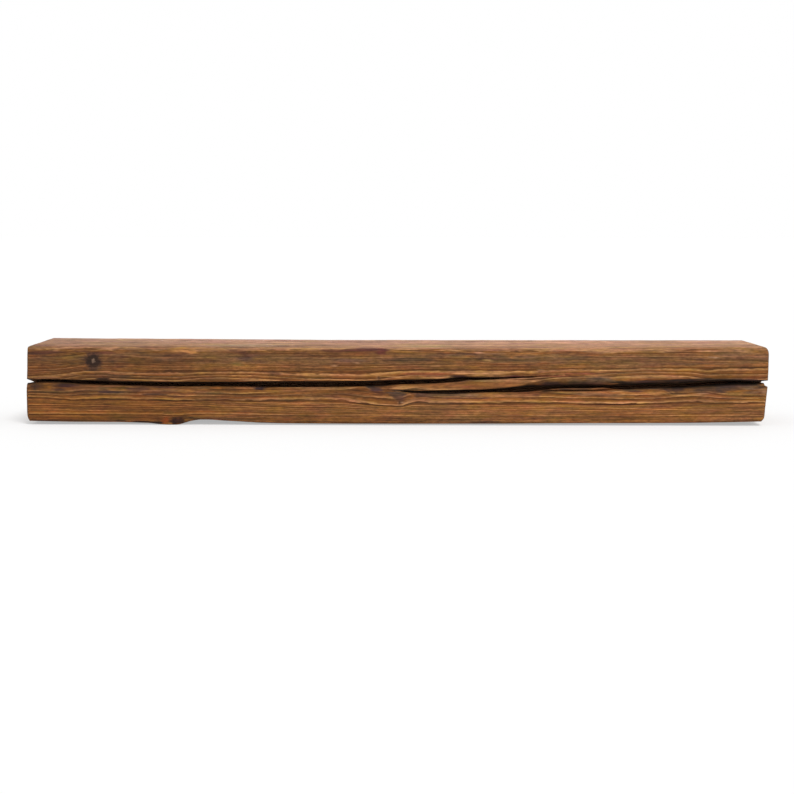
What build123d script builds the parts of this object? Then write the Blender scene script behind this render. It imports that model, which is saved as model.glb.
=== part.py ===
"""Reclaimed wood shelf: one length of old boxed-heart beam, worn along its front and split by drying checks.

The beam lies along X with its front at -Y, its wall face at +Y and its top at +Z. The origin is the middle of
the plane that it rests on. Two long drying checks open the front face. The first runs in from the left end and
dies out right of the middle, the second starts under it and runs out through the right end, and a tongue of wood
is left between them. Two blind holes in the wall face take the rods of a concealed wall fixing.
"""

import os
from dataclasses import dataclass
from math import radians, tan

from build123d import *

# Driving dimensions, in millimetres
LENGTH = 1000.0
DEPTH = 150.0
HEIGHT = 107.0

# Cutters reach past the faces that they cut by this much
OVERCUT = 6.0

# The worn front arris runs out of the top at a slight angle: its outline ends this far over the top
ARRIS_RUN_OUT = 0.4

# The worn part of the underside falls from the front arris to the resting plane at this angle
UNDERSIDE_SLOPE = radians(5.4)
BACK_ARRIS_RADIUS = 2.0

# Drying checks: the lips are eroded into a bevel this deep, and each slit ends in a blunt root
LIP_DEPTH = 6.0
ROOT_WIDTH = 0.6
CHECK_FALL = 0.09

# Rod holes for the concealed wall fixing
ROD_HOLE_RADIUS = 6.5
ROD_HOLE_DEPTH = 90.0
ROD_SPACING = 600.0
ROD_HEIGHT = 52.0

FRONT_Y = -DEPTH / 2
BACK_Y = DEPTH / 2


@dataclass(frozen=True)
class TopStation:
    """Height of the top at one place along the beam, which is a little bowed and twisted."""

    x: float
    front: float
    back: float


@dataclass(frozen=True)
class ArrisStation:
    """How the front top arris is worn round at one place along the beam."""

    x: float
    width: float  # reach of the wear across the top
    height: float  # reach of the wear down the front
    bulge: float  # how far the worn surface stands proud of the straight line between its edges


@dataclass(frozen=True)
class CheckStation:
    """The mouth and root of a drying check at one place along the beam."""

    x: float
    upper: float  # height of the slit's upper edge behind the bevelled lip
    lower: float  # height of the slit's lower edge behind the bevelled lip
    flare_up: float  # how far the upper lip is worn away above the slit
    flare_down: float  # how far the lower lip is worn away below the slit
    depth: float  # from the front face to the root


# How far the hewn front face stands back from its foremost plane, along the beam
HEWN_FRONT = (
    (-510, 0.6),
    (-430, 0.2),
    (-350, 0.6),
    (-302, 0.0),
    (-250, 0.7),
    (-150, 0.4),
    (-30, 0.2),
    (100, 0.6),
    (220, 0.3),
    (350, 0.7),
    (440, 0.3),
    (510, 0.6),
)

# Height of the front lower arris over the resting plane, with the knot that swells down to the plane
LOWER_ARRIS = (
    (-510, 5.2),
    (-440, 4.1),
    (-375, 3.8),
    (-338, 2.8),
    (-318, 0.5),
    (-302, -0.4),
    (-292, 0.8),
    (-283, 4.5),
    (-267, 7.4),
    (-246, 6.8),
    (-216, 4.9),
    (-160, 2.5),
    (-60, 2.0),
    (100, 2.1),
    (220, 3.0),
    (350, 3.6),
    (440, 4.6),
    (510, 6.2),
)

# Saw cuts at the ends, as (x, z) from the foot up: both lean the same way, and their feet are worn off
LEFT_END = ((-494, 0), (-496.8, 5), (-500, 12), (-500, 44), (-498.4, 73), (-497.2, 110))
RIGHT_END = ((486, 0), (491.5, 5.5), (496.2, 12), (496.9, 24), (499.5, 53), (500, 76), (500, 110))

# The top is flat over the middle and rises a little towards both ends
TOP = (
    TopStation(-510, 106.4, 107.0),
    TopStation(-204, 105.2, 105.4),
    TopStation(-102, 104.4, 104.4),
    TopStation(204, 104.4, 104.4),
    TopStation(510, 107.0, 105.2),
)

UPPER_ARRIS = (
    ArrisStation(-510, 12.0, 8.5, 2.6),
    ArrisStation(-408, 7.0, 6.0, 1.7),
    ArrisStation(-306, 14.0, 10.0, 3.1),
    ArrisStation(-204, 8.0, 6.0, 1.8),
    ArrisStation(-102, 6.0, 4.5, 1.3),
    ArrisStation(0, 6.0, 5.0, 1.4),
    ArrisStation(102, 8.0, 6.0, 1.8),
    ArrisStation(204, 11.0, 8.0, 2.4),
    ArrisStation(306, 13.0, 9.0, 2.8),
    ArrisStation(408, 11.0, 8.0, 2.4),
    ArrisStation(510, 11.0, 8.5, 2.4),
)

LEFT_CHECK = (
    CheckStation(-520, 62.2, 55.6, 1.2, 2.6, 42),
    CheckStation(-485, 61.5, 57.0, 1.0, 2.2, 43),
    CheckStation(-454, 61.2, 57.9, 0.8, 2.0, 44),
    CheckStation(-427, 60.3, 56.0, 0.8, 2.0, 45),
    CheckStation(-373, 58.2, 54.1, 1.0, 2.4, 45),
    CheckStation(-312, 58.2, 52.0, 1.0, 2.0, 45),
    CheckStation(-240, 58.2, 52.3, 1.0, 1.6, 45),
    CheckStation(-157, 59.2, 51.6, 0.8, 1.4, 45),
    CheckStation(-60, 59.7, 52.8, 0.8, 1.2, 45),
    CheckStation(5, 61.7, 55.6, 0.8, 2.0, 43),
    CheckStation(58, 62.8, 57.4, 1.0, 0.8, 38),
    CheckStation(100, 64.6, 61.2, 1.6, 0.6, 28),
    CheckStation(140, 64.9, 63.1, 0.8, 0.5, 18),
    CheckStation(180, 66.2, 65.4, 0.5, 0.4, 11),
    CheckStation(232, 69.2, 68.7, 0.3, 0.3, 7.5),
)

RIGHT_CHECK = (
    CheckStation(2, 46.5, 45.9, 0.3, 0.4, 7.5),
    CheckStation(24, 46.6, 44.4, 0.6, 2.4, 12),
    CheckStation(60, 47.4, 44.0, 0.8, 3.6, 19),
    CheckStation(110, 48.7, 45.0, 0.8, 2.4, 26),
    CheckStation(140, 50.1, 45.3, 1.0, 1.2, 32),
    CheckStation(172, 53.0, 46.0, 2.0, 1.2, 38),
    CheckStation(220, 54.2, 46.8, 8.0, 1.4, 42),
    CheckStation(275, 54.4, 47.2, 9.0, 1.6, 45),
    CheckStation(308, 56.3, 49.2, 4.5, 2.6, 45),
    CheckStation(350, 58.2, 51.4, 2.5, 3.0, 45),
    CheckStation(378, 58.9, 52.4, 2.0, 8.0, 45),
    CheckStation(412, 61.0, 55.0, 1.6, 7.4, 45),
    CheckStation(436, 61.9, 57.0, 1.2, 9.0, 44),
    CheckStation(463, 62.0, 58.4, 1.0, 9.0, 43),
    CheckStation(485, 61.6, 58.0, 1.0, 6.0, 42),
    CheckStation(520, 62.4, 55.4, 1.2, 3.0, 42),
)


def top_height(x, y):
    """Height of the top at a place, read between its stations and from its front to its back."""
    near, far = next(pair for pair in zip(TOP, TOP[1:]) if x <= pair[1].x)
    share = (x - near.x) / (far.x - near.x)
    front = near.front + share * (far.front - near.front)
    back = near.back + share * (far.back - near.back)
    return front + (back - front) * (y - FRONT_Y) / DEPTH


def cut_ends():
    """Saws off both ends of the part being built, along their leaning and worn outlines."""
    with BuildSketch(Plane.XZ.offset(-BACK_Y - OVERCUT)) as waste:
        for outline, side in ((LEFT_END, -1), (RIGHT_END, 1)):
            beyond = side * (LENGTH / 2 + 3 * OVERCUT)
            foot, head = outline[0], outline[-1]
            with BuildLine():
                Polyline((beyond, foot[1]), *outline, (beyond, head[1]), close=True)
            make_face()
    extrude(waste.sketch, amount=DEPTH + 2 * OVERCUT, mode=Mode.SUBTRACT)


def cut_top():
    """Cuts the bowed and twisted top, lofted through its stations."""
    behind, ahead = BACK_Y + OVERCUT, FRONT_Y - OVERCUT
    above = HEIGHT + OVERCUT
    sections = []
    for station in TOP:
        with BuildSketch(Plane.YZ.offset(station.x)) as section:
            with BuildLine():
                Polyline(
                    (ahead, top_height(station.x, ahead)),
                    (behind, top_height(station.x, behind)),
                    (behind, above),
                    (ahead, above),
                    close=True,
                )
            make_face()
        sections.append(section.sketch)
    loft(sections, ruled=True, mode=Mode.SUBTRACT)


def cut_underside():
    """Cuts the worn underside: the arris curve carried back and down until it sinks below the resting plane."""
    start, end = LOWER_ARRIS[0], LOWER_ARRIS[-1]
    floor = -HEIGHT
    with BuildSketch(Plane.XZ.offset(-FRONT_Y)) as section:
        with BuildLine():
            Spline(*LOWER_ARRIS)
            Polyline(end, (end[0], floor), (start[0], floor), start)
        make_face()
    extrude(section.sketch, amount=DEPTH, dir=(0, 1, -tan(UNDERSIDE_SLOPE)), mode=Mode.SUBTRACT)


def cut_upper_arris():
    """Wears the front top arris round, more at some places than at others."""
    sections = []
    for station in UPPER_ARRIS:
        worn_to = FRONT_Y + station.width
        on_top = (worn_to, top_height(station.x, worn_to) + ARRIS_RUN_OUT)
        on_front = (FRONT_Y, top_height(station.x, FRONT_Y) - station.height)
        with BuildSketch(Plane.YZ.offset(station.x)) as section:
            with BuildLine():
                SagittaArc(on_front, on_top, station.bulge)
                Polyline(
                    on_top,
                    (worn_to, HEIGHT + OVERCUT),
                    (FRONT_Y - OVERCUT, HEIGHT + OVERCUT),
                    (FRONT_Y - OVERCUT, on_front[1]),
                    on_front,
                )
            make_face()
        sections.append(section.sketch)
    loft(sections, ruled=True, mode=Mode.SUBTRACT)


def check_outline(station):
    """The slit's section at a station: a bevelled mouth, two straight walls and a blunt root."""
    outside = FRONT_Y - OVERCUT
    throat = FRONT_Y + LIP_DEPTH
    bevel = (LIP_DEPTH + OVERCUT) / LIP_DEPTH
    root_y = FRONT_Y + station.depth
    root_z = (station.upper + station.lower) / 2 - CHECK_FALL * station.depth
    return (
        (outside, station.upper + station.flare_up * bevel),
        (throat, station.upper),
        (root_y, root_z + ROOT_WIDTH / 2),
        (root_y, root_z - ROOT_WIDTH / 2),
        (throat, station.lower),
        (outside, station.lower - station.flare_down * bevel),
    )


def cut_check(stations):
    """Cuts one drying check out of the part being built, lofted through its stations."""
    sections = []
    for station in stations:
        with BuildSketch(Plane.YZ.offset(station.x)) as section:
            with BuildLine():
                Polyline(*check_outline(station), close=True)
            make_face()
        sections.append(section.sketch)
    loft(sections, ruled=True, mode=Mode.SUBTRACT)


with BuildPart() as shelf_beam:
    # Hewn blank, drawn from above, with its front edge following the hewn face
    front_edge = [(x, FRONT_Y + back_by) for x, back_by in HEWN_FRONT]
    with BuildSketch(Plane.XY):
        with BuildLine():
            Spline(*front_edge)
            Polyline(front_edge[-1], (front_edge[-1][0], BACK_Y), (front_edge[0][0], BACK_Y), front_edge[0])
        make_face()
    extrude(amount=HEIGHT)

    cut_ends()
    cut_top()

    # Arrises of the wall face
    back_face = shelf_beam.faces().sort_by(Axis.Y)[-1]
    long_edges = [edge for edge in back_face.edges() if abs(edge.tangent_at(0).X) > abs(edge.tangent_at(0).Z)]
    fillet(long_edges, BACK_ARRIS_RADIUS)

    cut_underside()
    cut_upper_arris()
    cut_check(LEFT_CHECK)
    cut_check(RIGHT_CHECK)

    # Blind rod holes in the wall face
    with Locations(Plane(origin=(0, BACK_Y, ROD_HEIGHT), x_dir=(1, 0, 0), z_dir=(0, 1, 0))):
        with GridLocations(ROD_SPACING, 0, 2, 1):
            Hole(radius=ROD_HOLE_RADIUS, depth=ROD_HOLE_DEPTH)

shelf_beam.part.label = "shelf_beam"

os.makedirs("parts", exist_ok=True)
export_step(shelf_beam.part, "parts/shelf_beam.step")
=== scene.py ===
"""Looks of a reclaimed wood shelf: an old beam with a brushed, weathered face and long drying checks.

Sizes are in millimetres in the tables and in metres in the scene. X runs along the beam, -Y is its front and
+Z is up, as in the frame that the script loads first.
"""

import itertools
import logging
import math
from dataclasses import dataclass
from enum import Enum

import bmesh
import bpy
import numpy as np
from mathutils import Matrix, Vector


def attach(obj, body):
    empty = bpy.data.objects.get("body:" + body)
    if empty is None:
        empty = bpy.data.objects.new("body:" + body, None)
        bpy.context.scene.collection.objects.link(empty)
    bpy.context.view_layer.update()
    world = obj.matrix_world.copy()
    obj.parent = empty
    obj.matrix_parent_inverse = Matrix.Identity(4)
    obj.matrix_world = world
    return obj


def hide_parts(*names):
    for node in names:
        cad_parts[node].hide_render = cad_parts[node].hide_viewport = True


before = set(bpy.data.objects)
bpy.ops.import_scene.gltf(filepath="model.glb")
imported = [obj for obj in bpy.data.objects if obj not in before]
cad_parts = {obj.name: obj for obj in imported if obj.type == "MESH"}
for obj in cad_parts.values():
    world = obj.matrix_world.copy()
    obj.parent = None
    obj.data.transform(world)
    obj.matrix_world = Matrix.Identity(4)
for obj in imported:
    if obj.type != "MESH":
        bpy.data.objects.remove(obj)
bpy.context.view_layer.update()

LOG = logging.getLogger("reclaimed_shelf")
MM = 0.001
Socket = bpy.types.NodeSocket
Station = tuple[float, float]
Colour = tuple[int, int, int]
Cells = tuple[float, float, float]

# Outline of the beam
LENGTH = 1000.0
DEPTH = 150.0
FRONT_Y = -DEPTH / 2
BACK_Y = DEPTH / 2
UNDERSIDE_SLOPE = math.tan(math.radians(5.4))

# How far each outline's corners are eased along the beam
ARRIS_EASING = 2.5
HEWN_EASING = 18.0
TOP_EASING = 25.0
WEAR_EASING = 30.0

# Rod holes of the concealed wall fixing
ROD_HOLE_RADIUS = 6.5
ROD_HOLE_DEPTH = 90.0
ROD_HOLE_X = (-300.0, 300.0)
ROD_HEIGHT = 52.0

# How far the hewn front face stands back from its foremost plane, along the beam
HEWN_FRONT: tuple[Station, ...] = (
    (-510, 0.6), (-430, 0.2), (-350, 0.6), (-302, 0.0), (-250, 0.7), (-150, 0.4), (-30, 0.2), (100, 0.6),
    (220, 0.3), (350, 0.7), (440, 0.3), (510, 0.6),
)

# Height of the front lower arris, with the knot that swells down to the resting plane
LOWER_ARRIS: tuple[Station, ...] = (
    (-510, 5.2), (-469, 4.4), (-440, 3.9), (-375, 3.7), (-335, 2.6), (-320, 0.8), (-310, 0.1),
    (-300, 0.0), (-293, 0.8), (-283, 4.5), (-267, 7.4), (-250, 7.0), (-233, 5.7), (-216, 4.9),
    (-190, 3.2), (-158, 2.5), (-103, 2.1), (0, 2.0), (140, 2.4), (220, 3.1), (356, 3.6), (410, 4.1),
    (464, 5.2), (510, 6.2),
)

# Height of the slightly bowed and twisted top, along its front and along its back
TOP_FRONT: tuple[Station, ...] = ((-510, 106.3), (-204, 105.1), (-102, 104.4), (204, 104.4), (510, 106.9))
TOP_BACK: tuple[Station, ...] = ((-510, 106.9), (-204, 105.4), (-102, 104.8), (100, 104.9), (510, 105.3))

# Outlines of the sawn ends, as height and distance short of half the length
LEFT_END: tuple[Station, ...] = (
    (0, 6.0), (3, 4.6), (5, 3.2), (8, 1.4), (12, 0.3), (16, 0.0), (44, 0.0), (58, 0.8), (73, 1.6),
    (95, 2.3), (107, 3.2),
)
RIGHT_END: tuple[Station, ...] = (
    (0, 13.0), (3, 10.5), (5.5, 8.2), (7.5, 6.2), (10, 4.4), (13, 3.6), (24, 3.0), (53, 0.5), (76, 0.0),
    (97, 0.0), (101, 0.6), (104, 1.9), (107, 3.6),
)

# Reach of the worn front top arris across the top and down the front
ARRIS_WIDTH: tuple[Station, ...] = (
    (-510, 12.0), (-408, 7.0), (-306, 14.0), (-204, 8.0), (-102, 6.0), (0, 6.0), (102, 8.0), (204, 11.0),
    (306, 13.0), (408, 11.0), (510, 11.0),
)
ARRIS_HEIGHT: tuple[Station, ...] = (
    (-510, 8.5), (-408, 6.0), (-306, 10.0), (-204, 6.0), (-102, 4.5), (0, 5.0), (102, 6.0), (204, 8.0),
    (306, 9.0), (408, 8.0), (510, 8.5),
)


def value_noise(points: np.ndarray, seed: int) -> np.ndarray:
    """Smooth seeded noise between -1 and 1.

    Args:
        points: Places as rows of three numbers, one noise cell to the unit.
        seed: Number that picks the pattern.

    Returns:
        One value for each row.
    """
    cell = np.floor(points).astype(np.int64)
    part = points - cell
    ease = part * part * (3.0 - 2.0 * part)
    total = np.zeros(len(points))
    for corner in itertools.product((0, 1), repeat=3):
        at = cell + np.array(corner)
        # Large factors scatter the cells' numbers, so that neighbours have nothing in common
        mixed = at[:, 0] * 374761393 + at[:, 1] * 668265263 + at[:, 2] * 1442695041 + seed * 1274126177
        mixed = (mixed ^ (mixed >> 13)) * 1103515245
        mixed = (mixed ^ (mixed >> 16)) & 0xFFFF
        weight = np.prod(np.where(np.array(corner) == 1, ease, 1.0 - ease), axis=1)
        total += weight * (mixed / 32767.5 - 1.0)
    return total


def smooth_curve(stations: tuple[Station, ...], x: np.ndarray, blur: float) -> np.ndarray:
    """Reads a curve through stations, with its corners eased.

    Args:
        stations: Places along the beam with the value at each.
        x: Where to read it.
        blur: Spread of the easing, in millimetres.

    Returns:
        The value at each x.
    """
    step = 1.0
    reach = 3.0 * blur
    line = np.arange(-LENGTH / 2 - 40, LENGTH / 2 + 40, step)
    places, values = zip(*stations)
    raw = np.interp(np.arange(line[0] - reach, line[-1] + reach + step, step), places, values)
    kernel = np.exp(-0.5 * (np.arange(-reach, reach + step, step) / blur) ** 2)
    eased = np.convolve(raw, kernel / kernel.sum(), mode="same")
    skip = int(round(reach / step))
    return np.interp(x, line, eased[skip : skip + len(line)])


def read_line(stations: tuple[Station, ...], value: np.ndarray) -> np.ndarray:
    """Reads a curve of straight pieces through stations."""
    places, levels = zip(*stations)
    return np.interp(value, places, levels)


def ease_step(low: float, high: float, value: np.ndarray) -> np.ndarray:
    """Rises smoothly from 0 at low to 1 at high."""
    part = np.clip((value - low) / (high - low), 0.0, 1.0)
    return part * part * (3.0 - 2.0 * part)


def linear(colour: Colour) -> tuple[float, float, float]:
    """Turns a 0 to 255 display colour into the linear values that shaders take."""
    return tuple((c / 255 / 12.92) if c <= 10 else ((c / 255 + 0.055) / 1.055) ** 2.4 for c in colour)


@dataclass(frozen=True)
class CheckStation:
    """The mouth of a drying check at one place along the beam, in millimetres."""

    x: float
    upper: float
    lower: float
    flare_up: float
    flare_down: float
    depth: float


MouthRow = tuple[float, float, float, float, float, float]

# The checks' mouths along the beam: place, upper edge, lower edge, flare up, flare down and depth
LEFT_MOUTH: tuple[MouthRow, ...] = (
    (-510, 62.0, 56.2, 1.6, 5.5, 42), (-497, 61.6, 56.4, 1.5, 6.0, 42), (-491, 60.8, 58.6, 1.2, 6.5, 42),
    (-473, 61.6, 58.8, 0.9, 6.0, 43), (-454, 61.2, 58.5, 0.9, 5.5, 44), (-427, 60.3, 56.0, 0.9, 4.5, 45),
    (-407, 59.6, 54.8, 2.5, 3.5, 45), (-394, 58.9, 54.4, 6.0, 3.0, 45), (-380, 58.3, 54.2, 2.5, 3.0, 45),
    (-339, 58.3, 52.8, 1.2, 2.8, 45), (-312, 58.2, 52.0, 1.0, 2.2, 45), (-265, 58.1, 52.5, 1.0, 1.5, 45),
    (-211, 58.4, 52.2, 1.0, 1.2, 45), (-192, 58.7, 51.9, 0.9, 3.6, 45), (-178, 58.9, 51.7, 0.9, 3.0, 45),
    (-157, 59.2, 51.5, 0.8, 1.0, 45), (-103, 59.3, 51.8, 0.8, 1.0, 45), (-49, 59.8, 52.9, 0.8, 1.2, 45),
    (-35, 60.2, 53.8, 0.8, 5.0, 45), (-15, 60.9, 54.8, 0.8, 6.0, 44), (5, 61.7, 55.6, 0.8, 1.6, 43),
    (31, 62.1, 56.0, 0.8, 0.9, 41), (58, 62.6, 57.4, 1.0, 0.8, 38), (79, 64.1, 59.2, 3.0, 0.7, 34),
    (92, 65.0, 61.0, 2.4, 0.6, 30), (112, 64.3, 61.7, 2.2, 0.6, 25), (139, 64.9, 63.3, 1.8, 0.5, 18),
    (160, 65.4, 64.3, 1.2, 0.5, 12), (180, 66.2, 65.5, 0.8, 0.4, 7), (205, 67.8, 67.4, 0.4, 0.3, 4),
    (232, 69.4, 69.1, 0.3, 0.3, 2), (262, 70.8, 70.7, 0.2, 0.2, 0), (510, 71.6, 71.4, 0.2, 0.2, 0),
)

RIGHT_MOUTH: tuple[MouthRow, ...] = (
    (-510, 46.2, 46.0, 0.2, 0.2, 0), (-6, 46.4, 46.2, 0.2, 0.2, 0), (4, 46.9, 45.4, 0.4, 0.8, 3),
    (14, 47.0, 44.8, 0.6, 1.6, 8), (32, 46.3, 44.0, 0.6, 3.4, 14), (59, 47.4, 44.0, 0.8, 4.0, 19),
    (79, 47.8, 43.6, 0.8, 3.8, 22), (92, 48.4, 44.5, 0.8, 3.4, 25), (112, 48.5, 45.2, 0.8, 2.4, 28),
    (139, 50.1, 45.4, 1.0, 1.4, 33), (166, 52.6, 45.4, 2.0, 1.2, 37), (181, 53.6, 46.4, 5.0, 1.2, 39),
    (200, 54.2, 47.4, 8.0, 1.2, 41), (230, 54.3, 46.7, 9.5, 1.4, 44), (260, 54.2, 47.0, 9.5, 1.6, 45),
    (284, 55.0, 48.2, 6.5, 2.2, 45), (300, 56.3, 49.2, 4.0, 2.4, 45), (320, 56.7, 49.9, 2.8, 3.4, 45),
    (338, 57.6, 50.9, 2.2, 1.8, 45), (357, 58.6, 51.7, 1.8, 4.0, 45), (378, 58.9, 52.4, 1.6, 8.6, 45),
    (392, 59.8, 53.4, 1.5, 7.6, 45), (412, 61.0, 55.0, 1.4, 7.4, 45), (436, 61.9, 57.2, 1.2, 10.0, 44),
    (458, 62.0, 58.7, 1.0, 10.0, 43), (483, 60.9, 58.4, 1.0, 8.0, 42), (493, 61.5, 58.8, 1.0, 4.0, 42),
    (510, 62.0, 58.4, 1.2, 2.4, 42),
)

# How much of the splinter that stands inside the right check's mouth there is, along the beam
SPLINTER: tuple[Station, ...] = (
    (-510, 0.0), (188, 0.0), (222, 1.0), (282, 1.0), (300, 0.0), (510, 0.0),
)


@dataclass(frozen=True)
class DryingCheck:
    """A long split that opened as the beam dried, with worn lips, straight walls and a blunt root."""

    stations: tuple[CheckStation, ...]
    seed: int
    # How far the root lies lower for each millimetre of depth
    fall: float = 0.09
    root_width: float = 0.6
    wall_rows: int = 8
    # Depth of the lips' bevel, and how much it grows with their flare
    lip_depth: float = 2.0
    lip_slope: float = 0.7
    # Least height of the strip that the rows take up on the face
    lowest_height: float = 5.0
    splinter: tuple[Station, ...] = ()
    # Height of the splinter's crest as a share of the slit
    splinter_crest: float = 0.52
    # How far coarse and fine torn grain stands out of the walls
    torn_grain: tuple[float, float] = (0.28, 0.14)
    # Distance from the sawn ends at which it starts, and is full
    torn_from: Station = (1.0, 14.0)

    def _curve(self, field: str, x: np.ndarray, blur: float = 2.5) -> np.ndarray:
        """One field of the stations as a smooth curve along the beam."""
        return smooth_curve(tuple((s.x, getattr(s, field)) for s in self.stations), x, blur)

    def rows(self, x: np.ndarray) -> tuple[np.ndarray, np.ndarray, np.ndarray]:
        """The lines that run along the check, from its lower lip in to the root and out to its upper lip.

        Args:
            x: Places along the beam.
        """
        upper, lower = self._curve("upper", x), self._curve("lower", x)
        up, down = self._curve("flare_up", x, 4.0), self._curve("flare_down", x, 4.0)
        depth = self._curve("depth", x, 4.0)
        middle = (upper + lower) / 2
        outer_up = np.maximum(upper + up, middle + self.lowest_height / 2)
        outer_down = np.minimum(lower - down, middle - self.lowest_height / 2)
        lip_up = np.minimum(self.lip_depth + self.lip_slope * up, depth * 0.5)
        lip_down = np.minimum(self.lip_depth + self.lip_slope * down, depth * 0.5)
        root = middle - self.fall * depth
        count = 2 * self.wall_rows
        flat = outer_down[:, None] + (outer_up - outer_down)[:, None] * np.arange(count) / (count - 1)
        amount = smooth_curve(self.splinter, x, 3.0) if self.splinter else np.zeros(len(x))
        lower_wall = self._wall(lower, outer_down, lip_down, depth, root - self.root_width / 2)
        upper_wall = self._wall(upper, outer_up, lip_up, depth, root + self.root_width / 2)
        self._raise_splinter(lower_wall, lower, upper, lip_down, amount)
        inward = np.concatenate([lower_wall[0], upper_wall[0][:, ::-1]], axis=1)
        height = np.concatenate([lower_wall[1], upper_wall[1][:, ::-1]], axis=1)
        openness = ease_step(0.0, 9.0, depth)
        rough = self._roughness(x, count) * np.minimum(inward / 3.0, 1.0)
        rough *= ease_step(*self.torn_from, LENGTH / 2 - np.abs(x))[:, None]
        height = openness[:, None] * (height + rough) + (1 - openness[:, None]) * flat
        return openness[:, None] * inward, height, openness

    def _wall(
        self, edge: np.ndarray, outer: np.ndarray, lip: np.ndarray, depth: np.ndarray, root: np.ndarray
    ) -> tuple[np.ndarray, np.ndarray]:
        """One wall's rows, from its outer lip over the worn bevel and straight in to the root.

        Args:
            edge: Height of the slit's edge behind the bevel.
            outer: Height at which the bevel starts on the front face.
            lip: Depth of the bevel.
            depth: Depth of the check.
            root: Height of the root on this wall's side.

        Returns:
            Depth and height, with one column for each row.
        """
        bevel = ((0.0, 0.0), (0.3, 0.5), (1.0, 1.0))
        inner = (0.06, 0.16, 0.35, 0.65, 1.0)
        inward = [lip * far for far, _ in bevel] + [lip + (depth - lip) * far for far in inner]
        height = [outer + (edge - outer) * far for _, far in bevel]
        height += [edge + (root - edge) * far for far in inner]
        return np.stack(inward, axis=1), np.stack(height, axis=1)

    def _raise_splinter(
        self,
        wall: tuple[np.ndarray, np.ndarray],
        lower: np.ndarray,
        upper: np.ndarray,
        lip: np.ndarray,
        amount: np.ndarray,
    ) -> None:
        """Lifts the rows behind the lower edge into a splinter, with a narrow gap over it.

        Args:
            wall: Depth and height of the lower wall's rows, which are changed in place.
            lower: Height of the slit's lower edge.
            upper: Height of the slit's upper edge.
            lip: Depth of the bevel in front of the slit.
            amount: How much of the splinter there is at each place, from 0 to 1.
        """
        inward, height = wall
        crest = lower + (upper - lower) * self.splinter_crest
        places = ((2, 6.0, lower + 0.4), (3, 1.4, lower + 1.6), (4, 2.0, crest), (5, 7.0, crest - 0.3))
        for row, behind, at_height in places:
            inward[:, row] += amount * (lip + behind - inward[:, row])
            height[:, row] += amount * (at_height - height[:, row])

    def _roughness(self, x: np.ndarray, count: int) -> np.ndarray:
        """Torn grain on the walls: heights to add, one column for each row.

        Args:
            x: Places along the beam.
            count: Number of rows.

        Returns:
            Heights, with one row of numbers for each place.
        """
        result = np.zeros((len(x), count))
        coarse_height, fine_height = self.torn_grain
        for row in range(count):
            line = np.stack([x / 17.0, np.full(len(x), row * 0.9), np.zeros(len(x))], axis=1)
            fine = np.stack([x / 5.0, np.full(len(x), row * 1.7), np.ones(len(x))], axis=1)
            result[:, row] = coarse_height * value_noise(line, self.seed)
            result[:, row] += fine_height * value_noise(fine, self.seed + 1)
        return result


# Lines of growth on the front face: the level that each keeps in undisturbed wood, and its height along
# the beam
GROWTH_LINES: dict[float, tuple[Station, ...]] = {
    15.0: (
        (-510, 13.0), (-420, 12.0), (-340, 12.6), (-300, 10.6), (-255, 13.6), (-150, 11.8), (510, 11.6),
    ),
    24.8: (
        (-510, 30.2), (-460, 28.5), (-420, 27.2), (-340, 26.5), (-300, 25.2), (-260, 27.2), (-220, 27.0),
        (-180, 25.2), (-140, 23.5), (-60, 22.8), (-20, 21.6), (20, 20.5), (100, 21.2), (160, 22.5),
        (510, 23.3),
    ),
    37.0: (
        (-510, 39.8), (-480, 39.3), (-438, 35.6), (-400, 37.9), (-370, 38.9), (-335, 37.0), (-300, 34.8),
        (-280, 34.8), (-250, 36.9), (-215, 35.8), (-160, 36.9), (-110, 37.6), (-72, 36.4), (-50, 32.3),
        (-25, 28.6), (4, 27.8), (12, 31.0), (19, 35.4), (27, 35.6), (55, 32.8), (150, 33.0), (250, 33.6),
        (367, 33.7), (395, 34.6), (411, 34.9), (433, 32.4), (467, 33.9), (492, 35.6), (510, 35.8),
    ),
    68.4: (
        (-510, 60.6), (-460, 65.5), (-440, 69.0), (-418, 72.2), (-395, 70.6), (-370, 68.4), (-300, 67.4),
        (-250, 67.4), (-190, 69.3), (-140, 68.0), (-60, 67.8), (-15, 69.6), (10, 72.3), (50, 72.0),
        (75, 70.8), (140, 70.2), (175, 70.4), (193, 71.5), (210, 73.2), (250, 73.6), (273, 72.0),
        (300, 72.6), (345, 74.6), (400, 74.8), (417, 73.2), (429, 74.9), (510, 75.2),
    ),
    76.4: (
        (-510, 67.0), (-460, 71.2), (-420, 76.4), (-380, 76.4), (-340, 76.0), (-260, 74.8), (-180, 76.2),
        (-60, 76.2), (20, 77.4), (100, 78.6), (140, 77.8), (220, 80.0), (300, 79.5), (380, 81.4),
        (510, 82.2),
    ),
    92.0: (
        (-510, 94.8), (-450, 95.6), (-425, 98.6), (-395, 99.4), (-370, 97.6), (-330, 95.6), (-300, 94.6),
        (-250, 94.6), (0, 96.0), (100, 95.0), (140, 93.8), (200, 96.0), (510, 97.0),
    ),
}


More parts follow.
